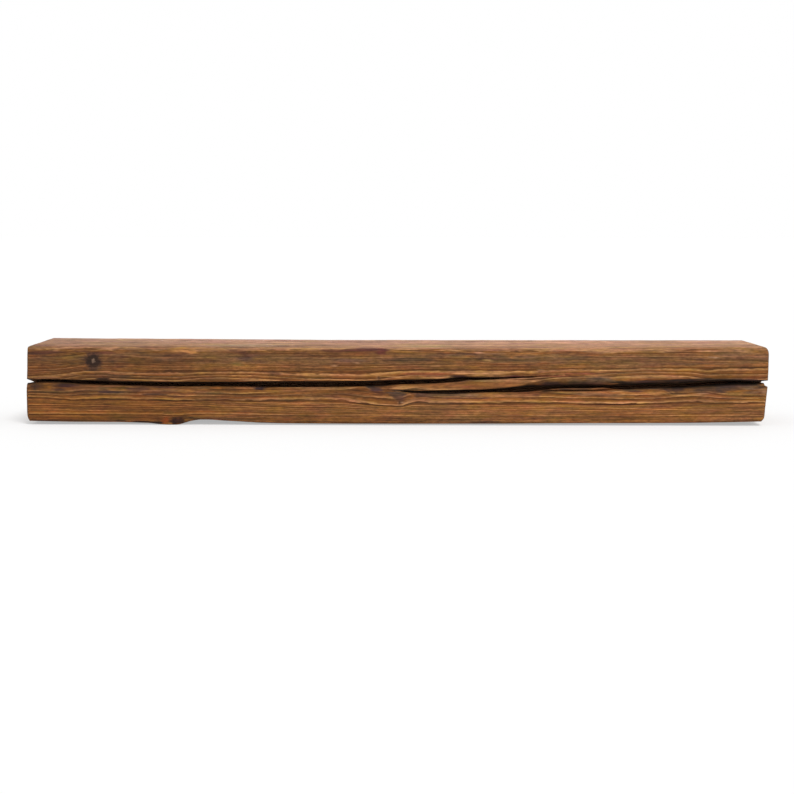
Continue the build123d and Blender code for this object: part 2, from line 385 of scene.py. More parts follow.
@dataclass(frozen=True)
class GrowthRings:
    """The tree's growth rings round the pith, which runs along the middle of the beam."""

    pith_height: float = 53.0
    width: float = 0.8
    slow_swing: float = 0.45
    slow_period: float = 7.3
    quick_swing: float = 0.3
    quick_period: float = 2.9
    latewood_start: float = 0.72
    # How far behind the front face the lines of growth still bend the grain, and their easing along it
    guide_reach: float = 45.0
    guide_easing: float = 3.5
    lines: tuple[tuple[float, tuple[Station, ...]], ...] = tuple(GROWTH_LINES.items())

    def undisturbed(self, points: np.ndarray) -> np.ndarray:
        """Where each point would lie if knots and waves hadn't pushed the grain about.

        Args:
            points: Places in the beam, one a row.

        Returns:
            Places whose distance from the straight pith line gives their growth ring.
        """
        x, y, z = points.T
        levels = [level for level, _ in self.lines]
        heights = [smooth_curve(line, x, self.guide_easing) for _, line in self.lines]
        level = z + levels[0] - heights[0]
        for step in range(len(levels) - 1):
            share = (z - heights[step]) / (heights[step + 1] - heights[step])
            between = levels[step] + share * (levels[step + 1] - levels[step])
            level = np.where(z >= heights[step], between, level)
        level = np.where(z >= heights[-1], z + levels[-1] - heights[-1], level)
        nearness = np.exp(-(y - FRONT_Y) / self.guide_reach)
        level = z + (level - z) * nearness
        wave = 0.45 * value_noise(points / (130.0, 30.0, 22.0), 11)
        wave += 0.14 * value_noise(points / (38.0, 9.0, 7.0), 12)
        sag = 0.9 * value_noise(points / (210.0, 40.0, 34.0), 13)
        return np.stack([x, y + wave, level + sag * (1 - 0.7 * nearness)], axis=1)

    def age(self, settled: np.ndarray) -> np.ndarray:
        """Rings counted from the pith, for places that undisturbed() gives.

        Args:
            settled: Places that undisturbed() gives.

        Returns:
            Rings from the pith, with the part of a ring as the fraction.
        """
        radius = np.hypot(settled[:, 1], settled[:, 2] - self.pith_height)
        slow = self.slow_swing * np.sin(radius / self.slow_period * math.tau)
        quick = self.quick_swing * np.sin(radius / self.quick_period * math.tau)
        return radius / self.width + slow + quick

    def ridge(self, age: np.ndarray) -> np.ndarray:
        """Height of the brushed surface across a ring: soft wood lies low and late wood stands up.

        Args:
            age: Rings counted from the pith.

        Returns:
            Height from 0 to 1.
        """
        part = age - np.floor(age)
        rise = ease_step(0.12, self.latewood_start + 0.12, part)
        return rise * (1.0 - ease_step(0.95, 1.0, part))


@dataclass(frozen=True)
class Knot:
    """A branch knot: its middle and its half-sizes along and across the grain."""

    x: float
    z: float
    along: float
    across: float
    reach: float = 14.0


KNOTS = (Knot(-408.6, 86.6, 10.4, 9.4),)


class Face(Enum):
    """Which side of the beam a coloured mark lies on."""

    FRONT = "front"
    TOP = "top"


@dataclass(frozen=True)
class Mark:
    """A coloured patch as a soft ellipse on one side of the beam: stains, bleaching and weathering, and
    painted shade along the right check's mouth.

    On the front, across is a height; on the top, it is a depth from the middle of the beam.
    """

    face: Face
    x: float
    across: float
    half_length: float
    half_width: float
    colour: Colour
    strength: float


MarkRow = tuple[float, float, float, float, Colour, float]
GREY_BROWN: Colour = (104, 80, 58)
# Near-black brown, used along the bottom edge by the swelling knot and as painted shade at the right check's
# lower edge
NEAR_BLACK: Colour = (40, 27, 20)

# Marks on the front: place along the beam, height, half length, half width, colour and strength
FRONT_MARKS: tuple[MarkRow, ...] = (
    # Broad zones of the front
    (-150, 90, 420, 10, GREY_BROWN, 0.4),
    (330, 90, 250, 9, GREY_BROWN, 0.4),
    # Upper left, round the knot
    (-470, 98, 36, 3, (94, 58, 44), 0.75),
    (-492, 96, 12, 2, (80, 52, 40), 0.6),
    (-452, 91, 18, 3, (146, 104, 60), 0.5),
    (-420, 103, 26, 1.6, (120, 78, 54), 0.55),
    (-425, 99.5, 20, 1.2, (104, 64, 46), 0.6),
    (-395, 97.5, 24, 2, (112, 68, 48), 0.6),
    (-421, 90, 6, 4, (86, 62, 50), 0.75),
    (-409, 95.5, 9, 1.8, (110, 72, 56), 0.7),
    (-408, 77.0, 7, 2.2, (108, 82, 68), 0.7),
    (-411, 74.0, 9, 1.1, (62, 40, 28), 0.9),
    (-394, 86.8, 5, 1.4, (158, 120, 70), 0.75),
    (-384, 86, 10, 2.6, (92, 70, 54), 0.6),
    (-368, 91.5, 5, 2.6, (92, 56, 42), 0.65),
    (-372, 80, 9, 3.0, (104, 64, 44), 0.5),
    (-476, 64, 26, 1.4, (162, 114, 76), 0.7),
    (-440, 67.5, 20, 1.3, (158, 108, 72), 0.65),
    (-385, 67.0, 22, 2.4, (158, 116, 74), 0.65),
    (-366, 65, 12, 2.0, (98, 74, 54), 0.55),
    (-394, 62.0, 11, 2.6, (70, 54, 44), 0.9),
    # Patch of fresh wood on the top arris, with dark wood under it
    (-288, 102, 20, 3.6, (192, 140, 78), 0.9),
    (-274, 98.5, 8, 2.4, (182, 130, 74), 0.8),
    (-306, 97, 22, 2, (126, 82, 50), 0.6),
    (-300, 93.5, 24, 2, (92, 58, 42), 0.65),
    (-308, 88, 26, 3.5, (98, 74, 62), 0.55),
    (-256, 87, 12, 3, (116, 68, 52), 0.5),
    (-216, 83, 10, 4, (126, 104, 58), 0.5),
    (-206, 97, 9, 5, (92, 58, 44), 0.7),
    (-204, 89, 12, 3.6, (96, 70, 62), 0.7),
    (-192, 94, 6, 2, (136, 96, 74), 0.5),
    (-186, 87, 12, 2.4, (90, 60, 46), 0.55),
    (-245, 63, 24, 2.6, (104, 84, 60), 0.55),
    (-185, 60.8, 34, 1.0, (184, 136, 96), 0.7),
    (-166, 88.5, 9, 2.2, (88, 60, 42), 0.55),
    (-165, 70, 10, 4, (92, 60, 44), 0.5),
    # Maroon streaks along the top arris
    (-125, 96, 20, 3, (124, 80, 56), 0.5),
    (-84, 101, 22, 2.0, (116, 68, 54), 0.65),
    (-40, 102, 30, 2.6, (98, 48, 44), 0.92),
    (-22, 99.5, 9, 4.4, (98, 46, 44), 0.85),
    (-54, 96, 16, 2.4, (148, 92, 50), 0.65),
    (-60, 88, 28, 2.6, (100, 76, 60), 0.65),
    (-90, 91.5, 5, 1.6, (84, 58, 38), 0.7),
    (-82, 88.2, 5, 1.3, (84, 58, 38), 0.7),
    (-84, 80.5, 3.5, 1.4, (196, 150, 106), 0.75),
    (-52, 84, 4, 1.2, (176, 134, 102), 0.6),
    (-24, 63.5, 3.4, 4.0, (70, 46, 34), 0.8),
    (-8, 66.0, 18, 1.0, (196, 146, 84), 0.6),
    (16, 89, 34, 2.6, (88, 68, 50), 0.65),
    (40, 69.8, 34, 2.4, (140, 80, 54), 0.75),
    (40, 64.4, 46, 1.1, (186, 148, 96), 0.75),
    (52, 80.5, 8, 1.2, (188, 136, 92), 0.6),
    (112, 96.5, 40, 2.2, (104, 76, 60), 0.6),
    (126, 90.4, 44, 1.2, (98, 66, 46), 0.65),
    (122, 88.6, 5, 1.1, (206, 160, 104), 0.8),
    (116, 70.4, 46, 1.5, (190, 142, 102), 0.6),
    (140, 74.8, 30, 0.9, (102, 58, 42), 0.65),
    (110, 98.6, 8, 1.4, (190, 138, 110), 0.6),
    (180, 92.5, 26, 1.8, (94, 68, 50), 0.6),
    (244, 91.5, 18, 2.4, (98, 72, 52), 0.55),
    (218, 101, 4, 3, (140, 92, 58), 0.55),
    (426, 92.6, 6, 1.3, (180, 140, 112), 0.8),
    (349, 94, 2.4, 1.4, (186, 146, 112), 0.6),
    (408, 90, 10, 2.4, (104, 72, 60), 0.6),
    (450, 98, 40, 3.0, (104, 74, 56), 0.65),
    (360, 93, 50, 4, (110, 78, 54), 0.45),
    (412, 74.6, 9, 1.0, (92, 56, 38), 0.6),
    # Weathered lip under the left check
    (-487, 52, 9, 6, (72, 50, 38), 0.9),
    (-471, 52.5, 10, 4.4, (142, 94, 36), 0.9),
    (-446, 53.5, 20, 3.4, (74, 46, 42), 0.95),
    (-456, 47.4, 14, 2.4, (84, 56, 46), 0.8),
    (-470, 44.6, 34, 1.4, (72, 54, 30), 0.7),
    (-416, 51, 20, 3.4, (128, 82, 50), 0.6),
    (-428, 46.0, 20, 1.2, (84, 56, 36), 0.6),
    (-385, 44.5, 24, 2.2, (78, 54, 48), 0.92),
    (-396, 50, 9, 2.6, (116, 88, 56), 0.7),
    (-373, 50.0, 13, 2.6, (124, 90, 36), 0.9),
    (-348, 48.5, 16, 4.0, (98, 62, 50), 0.85),
    (-372, 53.4, 30, 0.9, (170, 112, 82), 0.6),
    (-310, 50.4, 26, 1.2, (84, 54, 42), 0.8),
    (-318, 46, 20, 2.0, (134, 92, 64), 0.6),
    (-286, 45.5, 14, 2.6, (158, 110, 52), 0.75),
    (-325, 41.5, 20, 2.2, (92, 62, 46), 0.7),
    (-296, 37.9, 16, 1.5, (84, 46, 36), 0.9),
    (-262, 50.2, 14, 1.4, (112, 86, 62), 0.7),
    (-243, 50.4, 11, 1.8, (172, 104, 56), 0.85),
    (-243, 43.4, 14, 2.6, (116, 90, 66), 0.65),
    (-262, 40.6, 14, 1.4, (90, 64, 42), 0.6),
    (-205, 50.0, 16, 1.4, (168, 118, 70), 0.6),
    (-186, 50.0, 11, 3.0, (48, 34, 42), 0.97),
    (-164, 45.5, 14, 2.4, (176, 124, 58), 0.6),
    (-120, 46, 50, 4, (158, 106, 58), 0.55),
    (-100, 50.6, 54, 0.9, (182, 142, 100), 0.65),
    (-100, 39.8, 28, 1.0, (88, 58, 34), 0.75),
    (-36, 52.0, 9, 2.2, (52, 40, 36), 0.9),
    (-28, 48.4, 12, 3.6, (76, 52, 54), 0.95),
    (-26, 44.2, 9, 1.2, (70, 42, 40), 0.85),
    (-40, 45.2, 9, 0.9, (190, 140, 88), 0.6),
    (-22, 41.6, 12, 1.6, (98, 62, 42), 0.6),
    # Round the middle knot and under the right check
    (3, 47.6, 16, 1.4, (46, 33, 25), 0.95),
    (0, 44.2, 15, 1.8, (92, 72, 62), 0.92),
    (2, 41.2, 13, 2.8, (92, 66, 54), 0.92),
    (3, 37.6, 10, 2.8, (94, 62, 52), 0.92),
    (4, 34.2, 7, 2.6, (92, 60, 44), 0.9),
    (4.5, 30.6, 3.4, 2.8, (66, 42, 28), 0.92),
    (19, 39.0, 4, 3.4, (158, 100, 50), 0.85),
    (8, 30.8, 2.6, 1.4, (176, 140, 110), 0.6),
    (34, 40.4, 9, 2.2, (86, 54, 38), 0.85),
    (32, 43.0, 9, 1.2, (112, 88, 76), 0.7),
    (76, 41.4, 42, 3.0, (126, 94, 72), 0.85),
    (82, 37.0, 40, 1.2, (92, 54, 42), 0.9),
    (150, 41, 40, 3.0, (144, 98, 64), 0.6),
    (122, 38.2, 8, 1.6, (96, 56, 44), 0.7),
    (188, 40, 8, 4.0, (106, 66, 48), 0.55),
    # Tongue between the checks and the lip over the left check's tail
    (50, 52.5, 44, 3.4, (150, 100, 54), 0.55),
    (22, 49.2, 10, 1.4, (120, 90, 60), 0.6),
    (92, 52.6, 8, 1.4, (124, 70, 48), 0.6),
    (140, 56, 46, 3.4, (172, 116, 66), 0.7),
    (118, 60.4, 22, 0.9, (202, 168, 128), 0.85),
    (86, 66.2, 15, 2.2, (56, 36, 34), 0.95),
    (128, 65.8, 44, 1.4, (96, 62, 50), 0.8),
    (166, 66.0, 20, 1.6, (84, 34, 36), 0.92),
    (214, 67.2, 34, 1.6, (120, 66, 46), 0.85),
    (245, 70.4, 26, 1.3, (122, 66, 44), 0.8),
    (188, 59.4, 26, 2.0, (186, 136, 90), 0.75),
    (232, 64.6, 18, 1.4, (166, 124, 80), 0.75),
    (262, 67.6, 16, 0.9, (174, 130, 84), 0.7),
    (193, 72.8, 3, 1.6, (100, 66, 50), 0.8),
    (193, 75.6, 6, 0.9, (176, 134, 106), 0.7),
    # Lips of the right check. The near-black marks along the slit, over the splinter and on the upper lips'
    # bevels are painted shade, and the grey-brown marks on the wide upper lip are partly painted shade; the
    # marks on the lower lips give them their dark grey-brown
    (176, 53.4, 14, 1.6, (40, 26, 26), 0.92),
    (212, 56.6, 24, 4.6, (78, 56, 56), 0.97),
    (240, 60.6, 26, 4.0, (94, 74, 58), 0.95),
    (270, 61.4, 26, 4.6, (100, 78, 66), 0.95),
    (250, 54.4, 44, 1.3, (48, 33, 24), 0.9),
    (250, 50.0, 40, 1.1, (88, 64, 48), 0.8),
    (238, 52.6, 60, 1.5, (34, 22, 15), 0.95),
    (244, 47.5, 46, 1.0, (50, 33, 22), 0.92),
    (206, 47.4, 18, 1.8, (44, 30, 18), 0.92),
    (304, 58.4, 24, 2.8, (34, 25, 22), 0.97),
    (332, 59.4, 26, 2.0, (62, 43, 38), 0.92),
    (380, 61.2, 38, 2.4, (34, 23, 19), 0.97),
    (424, 62.8, 46, 2.0, (44, 29, 24), 0.95),
    (470, 61.8, 28, 1.9, (64, 42, 34), 0.95),
    (440, 57.4, 60, 2.6, (46, 33, 28), 0.95),
    (376, 53.2, 50, 2.0, (24, 17, 14), 0.95),
    (262, 43, 26, 2.4, (132, 96, 65), 0.7),
    (228, 44.6, 28, 1.6, (122, 88, 58), 0.8),
    (296, 41, 20, 3.0, (116, 84, 54), 0.65),
    (300, 46.6, 14, 1.0, (156, 116, 82), 0.7),
    (316, 48.6, 16, 1.2, (110, 88, 72), 0.8),
    (322, 46.2, 18, 1.2, (82, 48, 38), 0.85),
    (348, 45.0, 16, 3.6, (142, 100, 56), 0.75),
    (348, 50.2, 26, 1.3, (70, 50, 44), 0.88),
    (378, 48.5, 18, 4.6, (66, 46, 44), 0.97),
    (378, 43.6, 18, 1.4, (62, 38, 34), 0.9),
    (414, 48.8, 24, 4.4, (78, 54, 40), 0.94),
    (398, 41.6, 34, 1.2, (176, 128, 90), 0.7),
    (412, 43.6, 11, 1.1, (182, 136, 100), 0.8),
    (414, 39.4, 13, 1.6, (112, 72, 48), 0.65),
    (436, 46.0, 12, 2.4, (76, 52, 44), 0.9),
    (446, 52.0, 24, 5.4, (70, 52, 47), 0.95),
    (452, 43.0, 12, 3.2, (136, 100, 54), 0.88),
    (440, 37.4, 26, 1.0, (88, 58, 40), 0.8),
    (478, 54.0, 22, 3.8, (74, 54, 46), 0.92),
    (474, 50.0, 16, 1.0, (124, 98, 84), 0.7),
    (478, 45.6, 16, 2.8, (102, 76, 58), 0.75),
    (495, 47.0, 6, 5.0, (146, 114, 84), 0.7),
    (470, 57.6, 30, 0.9, NEAR_BLACK, 0.8),
    (345, 65.6, 62, 1.5, (150, 112, 76), 0.7),
    # Small marks low on the right
    (381, 17.4, 2.4, 1.6, (206, 158, 106), 0.75),
    (478, 17.8, 2.4, 1.2, (104, 62, 38), 0.7),
    (428, 7.4, 70, 1.6, (112, 78, 50), 0.5),
    # Swelling knot under the left half
    (-312, 6.2, 6.5, 5.0, (150, 78, 36), 0.88),
    (-301, 4.6, 6, 5.4, (46, 29, 28), 0.97),
    (-294, 6.2, 10, 4.6, (60, 32, 28), 0.97),
    (-286, 10.8, 15, 1.6, (62, 40, 28), 0.8),
    (-326, 2.8, 12, 1.8, NEAR_BLACK, 0.85),
    (-308, 17.5, 7, 2.8, (106, 82, 46), 0.5),
    (-274, 8.6, 12, 2.2, (82, 58, 44), 0.8),
    (-284, 3.6, 2.6, 1.5, (150, 104, 82), 0.75),
    (-297, 8.4, 2.0, 1.8, (140, 84, 58), 0.65),
    (-345, 4.2, 16, 1.6, NEAR_BLACK, 0.85),
    (-374, 5.8, 12, 1.2, NEAR_BLACK, 0.8),
    (-440, 5.8, 70, 1.2, (68, 46, 28), 0.7),
    (-240, 8.2, 40, 1.4, (96, 68, 48), 0.6),
    (118, 4.6, 24, 1.2, (70, 48, 36), 0.85),
)

# Streaks along the top: place along the beam, depth from its middle, and the rest as above
TOP_MARKS: tuple[MarkRow, ...] = (
    (-205, -35, 62, 24, (152, 132, 108), 0.6),
    (35, -36, 46, 26, (168, 142, 100), 0.55),
    (-90, 30, 190, 20, (198, 150, 134), 0.55),
    (330, 20, 200, 24, (186, 138, 112), 0.45),
    (-410, -60, 32, 12, (132, 88, 62), 0.6),
    (-484, -50, 20, 20, (134, 88, 62), 0.55),
    (-330, -62, 40, 10, (148, 98, 70), 0.5),
    (-206, -64, 18, 8, (120, 86, 66), 0.6),
    (-20, -62, 30, 8, (130, 92, 76), 0.5),
    (380, -60, 90, 9, (156, 108, 78), 0.45),
    (140, -20, 120, 6, (204, 158, 126), 0.5),
)

MARKS = (
    *(Mark(Face.FRONT, *row) for row in FRONT_MARKS),
    *(Mark(Face.TOP, *row) for row in TOP_MARKS),
)


@dataclass(frozen=True)
class GrainNoise:
    """The noises that the wood's look is mixed from, from the finest to the broadest."""

    fibre: Socket
    threads: Socket
    bands: Socket
    blotch: Socket
    hue: Socket


@dataclass(frozen=True)
class WeatheredWood:
    """Brushed, stained old softwood: growth rings, fibres, blotches, knots, stains and end grain, with
    painted shade and highlights across the rings, painted shade in the checks and rod holes, and painted
    light deep in the checks.
    """

    rings: GrowthRings
    # Colours across a ring: the dark furrow is partly painted shade under each ridge, and the light late
    # wood partly a painted highlight on the ridge
    furrow_and_shade: Colour = (49, 25, 9)
    early: Colour = (114, 68, 29)
    middle: Colour = (144, 94, 48)
    latewood_and_highlight: Colour = (202, 150, 101)
    grey_wood: Colour = (116, 88, 60)
    reddish: Colour = (255, 232, 238)
    neutral: Colour = (255, 249, 236)
    olive: Colour = (252, 254, 204)
    # Painted shade on the checks' lips and walls and in the rod holes, and painted light deep in the checks,
    # where little light reaches
    painted_check_shade: Colour = (31, 21, 15)
    painted_check_light: Colour = (158, 118, 88)
    knot_dark: Colour = (36, 22, 16)
    knot_ring: Colour = (66, 41, 30)
    knot_core: Colour = (142, 115, 96)
    end_wood: Colour = (112, 78, 48)
    specular: float = 0.2
    roughness: float = 0.62
    # Noise cells to the metre, along and across the grain
    fibre_cells: Cells = (120.0, 480.0, 480.0)
    thread_cells: Cells = (12.0, 380.0, 380.0)
    band_cells: Cells = (6.0, 130.0, 130.0)
    blotch_cells: Cells = (11.0, 34.0, 34.0)
    hue_cells: Cells = (22.0, 120.0, 120.0)
    ragged_cells: Cells = (50.0, 260.0, 260.0)
    # How far the rings' edges wander, in rings
    ring_raggedness: float = 0.3
    knot_raggedness: float = 1.2
    # How boldly the faintest ring shows, and how much bolder others are
    faintest_ring: float = 0.7
    ring_variation: float = 0.5
    # Heights of ridges, fibres and threads in the fine relief, in millimetres
    ridge_height: float = 0.35
    fibre_height: float = 0.2
    thread_height: float = 0.8
    # How light the wood is at each level of the noises
    fibre_light: tuple[Station, ...] = ((0.0, 0.54), (0.3, 0.6), (0.5, 1.0), (0.7, 1.38), (1.0, 1.46))
    thread_light: tuple[Station, ...] = (
        (0.0, 0.5), (0.32, 0.54), (0.44, 0.86), (0.56, 1.1), (0.68, 1.42), (1.0, 1.5)
    )
    band_light: tuple[Station, ...] = ((0.0, 0.74), (0.34, 0.78), (0.5, 1.0), (0.66, 1.16), (1.0, 1.2))

    def material(self) -> bpy.types.Material:
        """Builds the wood as a node material.

        Returns:
            The material, which reads the beam's own attributes and its object coordinates.
        """
        made = bpy.data.materials.new("weathered_wood")
        made.use_nodes = True
        desk = NodeDesk(made.node_tree)
        place = desk.node("ShaderNodeTexCoord").outputs["Object"]
        settled = desk.attribute("grain_at", "Vector")
        grain = GrainNoise(
            fibre=desk.noise(place, self.fibre_cells, 2.0, 0.6),
            threads=desk.noise(settled, self.thread_cells, 3.0, 0.65),
            bands=desk.noise(settled, self.band_cells, 3.0, 0.6),
            blotch=desk.noise(place, self.blotch_cells, 3.0, 0.6),
            hue=desk.noise(settled, self.hue_cells, 3.0, 0.6),
        )
        phase, count = self._ring_phase(desk, settled, place)
        colour = self._ring_colour(desk, phase, count, grain)
        colour = self._worn_colour(desk, colour, grain)
        colour = self._end_colour(desk, colour, settled, place)
        colour = self._knot_colour(desk, colour, place)
        # Painted shade darkens the checks' lips and walls and the rod holes, and painted light lightens the
        # checks' depths
        shade = desk.attribute("shade", "Fac")
        painted_check_shading = desk.colour_ramp(shade, ((0.5, self.painted_check_shade), (1.0, self.painted_check_light)))
        colour = desk.mix(desk.math("MULTIPLY", shade, 2.0, clamp=True), colour, painted_check_shading)
        ridge = desk.ramp(phase, ((0.0, 0.25), (0.12, 0.0), (0.84, 1.0), (0.95, 1.0), (1.0, 0.25)))
        shader = desk.shader()
        shader.inputs["Specular IOR Level"].default_value = self.specular
        desk.link(colour, shader.inputs["Base Color"])
        desk.link(self._gloss(desk, ridge, grain), shader.inputs["Roughness"])
        desk.link(self._bump(desk, ridge, grain), shader.inputs["Normal"])
        return made

    def _gloss(self, desk: "NodeDesk", ridge: Socket, grain: GrainNoise) -> Socket:
        """Roughness: the rubbed ridges are a little smoother than the furrows."""
        gloss = desk.math("MULTIPLY_ADD", ridge, -0.12, self.roughness + 0.08)
        return desk.math("MULTIPLY_ADD", grain.fibre, 0.16, gloss)

    def _bump(self, desk: "NodeDesk", ridge: Socket, grain: GrainNoise) -> Socket:
        """Fine relief of ridges, threads and fibres that the mesh is too coarse for.

        Args:
            desk: Where the nodes are laid out.
            ridge: Height of the brushed surface across a ring.
            grain: The wood's noises.

        Returns:
            The bent normal.
        """
        tall = desk.math("MULTIPLY", desk.attribute("relief", "Fac"), self.ridge_height)
        height = desk.math("MULTIPLY", ridge, tall)
        height = desk.math("MULTIPLY_ADD", grain.fibre, self.fibre_height, height)
        height = desk.math("MULTIPLY_ADD", grain.threads, self.thread_height, height)
        bump = desk.node("ShaderNodeBump")
        bump.inputs["Strength"].default_value = 1.0
        bump.inputs["Distance"].default_value = MM
        desk.link(height, bump.inputs["Height"])
        return bump.outputs["Normal"]

    def _ring_phase(self, desk: "NodeDesk", settled: Socket, place: Socket) -> tuple[Socket, Socket]:
        """Where a point lies within its growth ring, and which ring that is.

        Args:
            desk: Where the nodes are laid out.
            settled: Place of the wood in undisturbed grain.
            place: Place on the beam, from its object coordinates.

        Returns:
            The part of the ring from 0 to 1, and the ring's number.
        """
        rings = self.rings
        split = desk.node("ShaderNodeSeparateXYZ")
        desk.link(settled, split.inputs[0])
        across = split.outputs["Y"]
        rise = desk.math("SUBTRACT", split.outputs["Z"], rings.pith_height * MM)
        square = desk.math("ADD", desk.math("MULTIPLY", across, across), desk.math("MULTIPLY", rise, rise))
        radius = desk.math("SQRT", square)
        slow = desk.math("SINE", desk.math("MULTIPLY", radius, math.tau / rings.slow_period / MM))
        quick = desk.math("SINE", desk.math("MULTIPLY", radius, math.tau / rings.quick_period / MM))
        age = desk.math("MULTIPLY", radius, 1 / rings.width / MM)
        age = desk.math("MULTIPLY_ADD", slow, rings.slow_swing, age)
        age = desk.math("MULTIPLY_ADD", quick, rings.quick_swing, age)
        ragged = desk.math("SUBTRACT", desk.noise(place, self.ragged_cells, 2.0, 0.5), 0.5)
        age = desk.math("MULTIPLY_ADD", ragged, self.ring_raggedness, age)
        return desk.math("FRACT", age), desk.math("FLOOR", age)

    def _ring_colour(self, desk: "NodeDesk", phase: Socket, count: Socket, grain: GrainNoise) -> Socket:
        """Colour across a ring, with rings that differ from each other and blur where the wood is rubbed;
        the dark line under each ridge is partly painted shade and the light ridge partly a painted
        highlight.

        Args:
            desk: Where the nodes are laid out.
            phase: Where a point lies within its ring.
            count: The ring's number.
            grain: The wood's noises.

        Returns:
            The clean wood's colour.
        """
        early_wood = ((0.0, self.furrow_and_shade), (0.14, self.furrow_and_shade), (0.32, self.early), (0.66, self.middle))
        late_wood = ((0.84, self.latewood_and_highlight), (0.95, self.latewood_and_highlight), (1.0, self.furrow_and_shade))
        colours = desk.colour_ramp(phase, early_wood + late_wood)
        plain = desk.mix(grain.blotch, linear(self.early), linear(self.middle))
        contrast = desk.attribute("relief", "Fac")
        each = desk.node("ShaderNodeTexWhiteNoise", noise_dimensions="1D")
        desk.link(count, each.inputs["W"])
        strength = desk.math("MULTIPLY_ADD", each.outputs["Value"], self.ring_variation, self.faintest_ring)
        strength = desk.math("MULTIPLY", strength, contrast)
        uneven = desk.math("SUBTRACT", grain.blotch, 0.5)
        strength = desk.math("MULTIPLY_ADD", uneven, 0.5, strength, clamp=True)
        return desk.mix(strength, plain, colours)

    def _worn_colour(self, desk: "NodeDesk", colour: Socket, grain: GrainNoise) -> Socket:
        """Greying, stains along the face with painted light on the top and painted shade along the right
        check, and light and dark threads over all of it.

        Args:
            desk: Where the nodes are laid out.
            colour: The colour so far.
            grain: The wood's noises.

        Returns:
            The worn wood's colour.
        """
        grey = desk.ramp(grain.blotch, ((0.0, 0.0), (0.48, 0.0), (0.75, 0.5), (1.0, 0.5)))
        colour = desk.mix(grey, colour, linear(self.grey_wood))
        # This attribute holds stains, and also the top's painted light and sheen and painted shade along the
        # right check's mouth
        stain_and_painted_shading = desk.node("ShaderNodeAttribute")
        stain_and_painted_shading.attribute_name = "stain_and_painted_shading"
        alpha = stain_and_painted_shading.outputs["Alpha"]
        half = desk.math("MULTIPLY", alpha, desk.math("SUBTRACT", 1.0, alpha))
        streaks = desk.math("MULTIPLY", desk.math("SUBTRACT", grain.bands, 0.5), 7.0)
        amount = desk.math("MULTIPLY_ADD", half, streaks, alpha, clamp=True)
        stained_and_shaded = desk.mix(amount, colour, stain_and_painted_shading.outputs["Color"])
        tint = desk.colour_ramp(grain.hue, ((0.32, self.reddish), (0.5, self.neutral), (0.68, self.olive)))
        fine = desk.ramp(grain.fibre, self.fibre_light)
        lines = desk.ramp(grain.threads, self.thread_light)
        broad = desk.ramp(grain.bands, self.band_light)
        faint = desk.math("MULTIPLY_ADD", desk.attribute("relief", "Fac"), -0.45, 1.1)
        fine = desk.math("MULTIPLY_ADD", desk.math("SUBTRACT", fine, 1.0), faint, 1.0)
        light = desk.math("MULTIPLY", desk.math("MULTIPLY", fine, lines), broad)
        toned = desk.multiply(desk.multiply(stained_and_shaded, tint), desk.attribute("tone", "Color"))
        return desk.scale_colour(toned, light)

    def _end_colour(self, desk: "NodeDesk", colour: Socket, settled: Socket, place: Socket) -> Socket:
        """Sawn end grain: a little darker, with fine checks that run out from the pith.

        Args:
            desk: Where the nodes are laid out.
            colour: The colour so far.
            settled: Place of the wood in undisturbed grain.
            place: Place on the beam, from its object coordinates.

        Returns:
            The colour with the ends' own look on them.
        """
        split = desk.node("ShaderNodeSeparateXYZ")
        desk.link(settled, split.inputs[0])
        rise = desk.math("SUBTRACT", split.outputs["Z"], self.rings.pith_height * MM)
        angle = desk.math("ARCTAN2", rise, split.outputs["Y"])
        spread = desk.node("ShaderNodeCombineXYZ")
        desk.link(desk.math("MULTIPLY", desk.math("COSINE", angle), 9.0), spread.inputs["X"])
        desk.link(desk.math("MULTIPLY", desk.math("SINE", angle), 9.0), spread.inputs["Y"])
        spokes = desk.noise(spread.outputs[0], (1.0, 1.0, 1.0), 2.0, 0.5)
        thin = desk.math("ABSOLUTE", desk.math("SUBTRACT", spokes, 0.5))
        line = desk.ramp(thin, ((0.0, 1.0), (0.008, 0.8), (0.02, 0.0), (1.0, 0.0)))
        patch = desk.noise(place, (50.0, 50.0, 50.0), 1.0, 0.5)
        broken = desk.ramp(patch, ((0.0, 0.0), (0.45, 0.0), (0.6, 1.0), (1.0, 1.0)))
        line = desk.math("MULTIPLY", line, broken)
        end = desk.attribute("end", "Fac")
        tinted = desk.mix(desk.math("MULTIPLY", end, 0.4), colour, linear(self.end_wood))
        return desk.mix(desk.math("MULTIPLY", line, end), tinted, linear(self.furrow_and_shade))

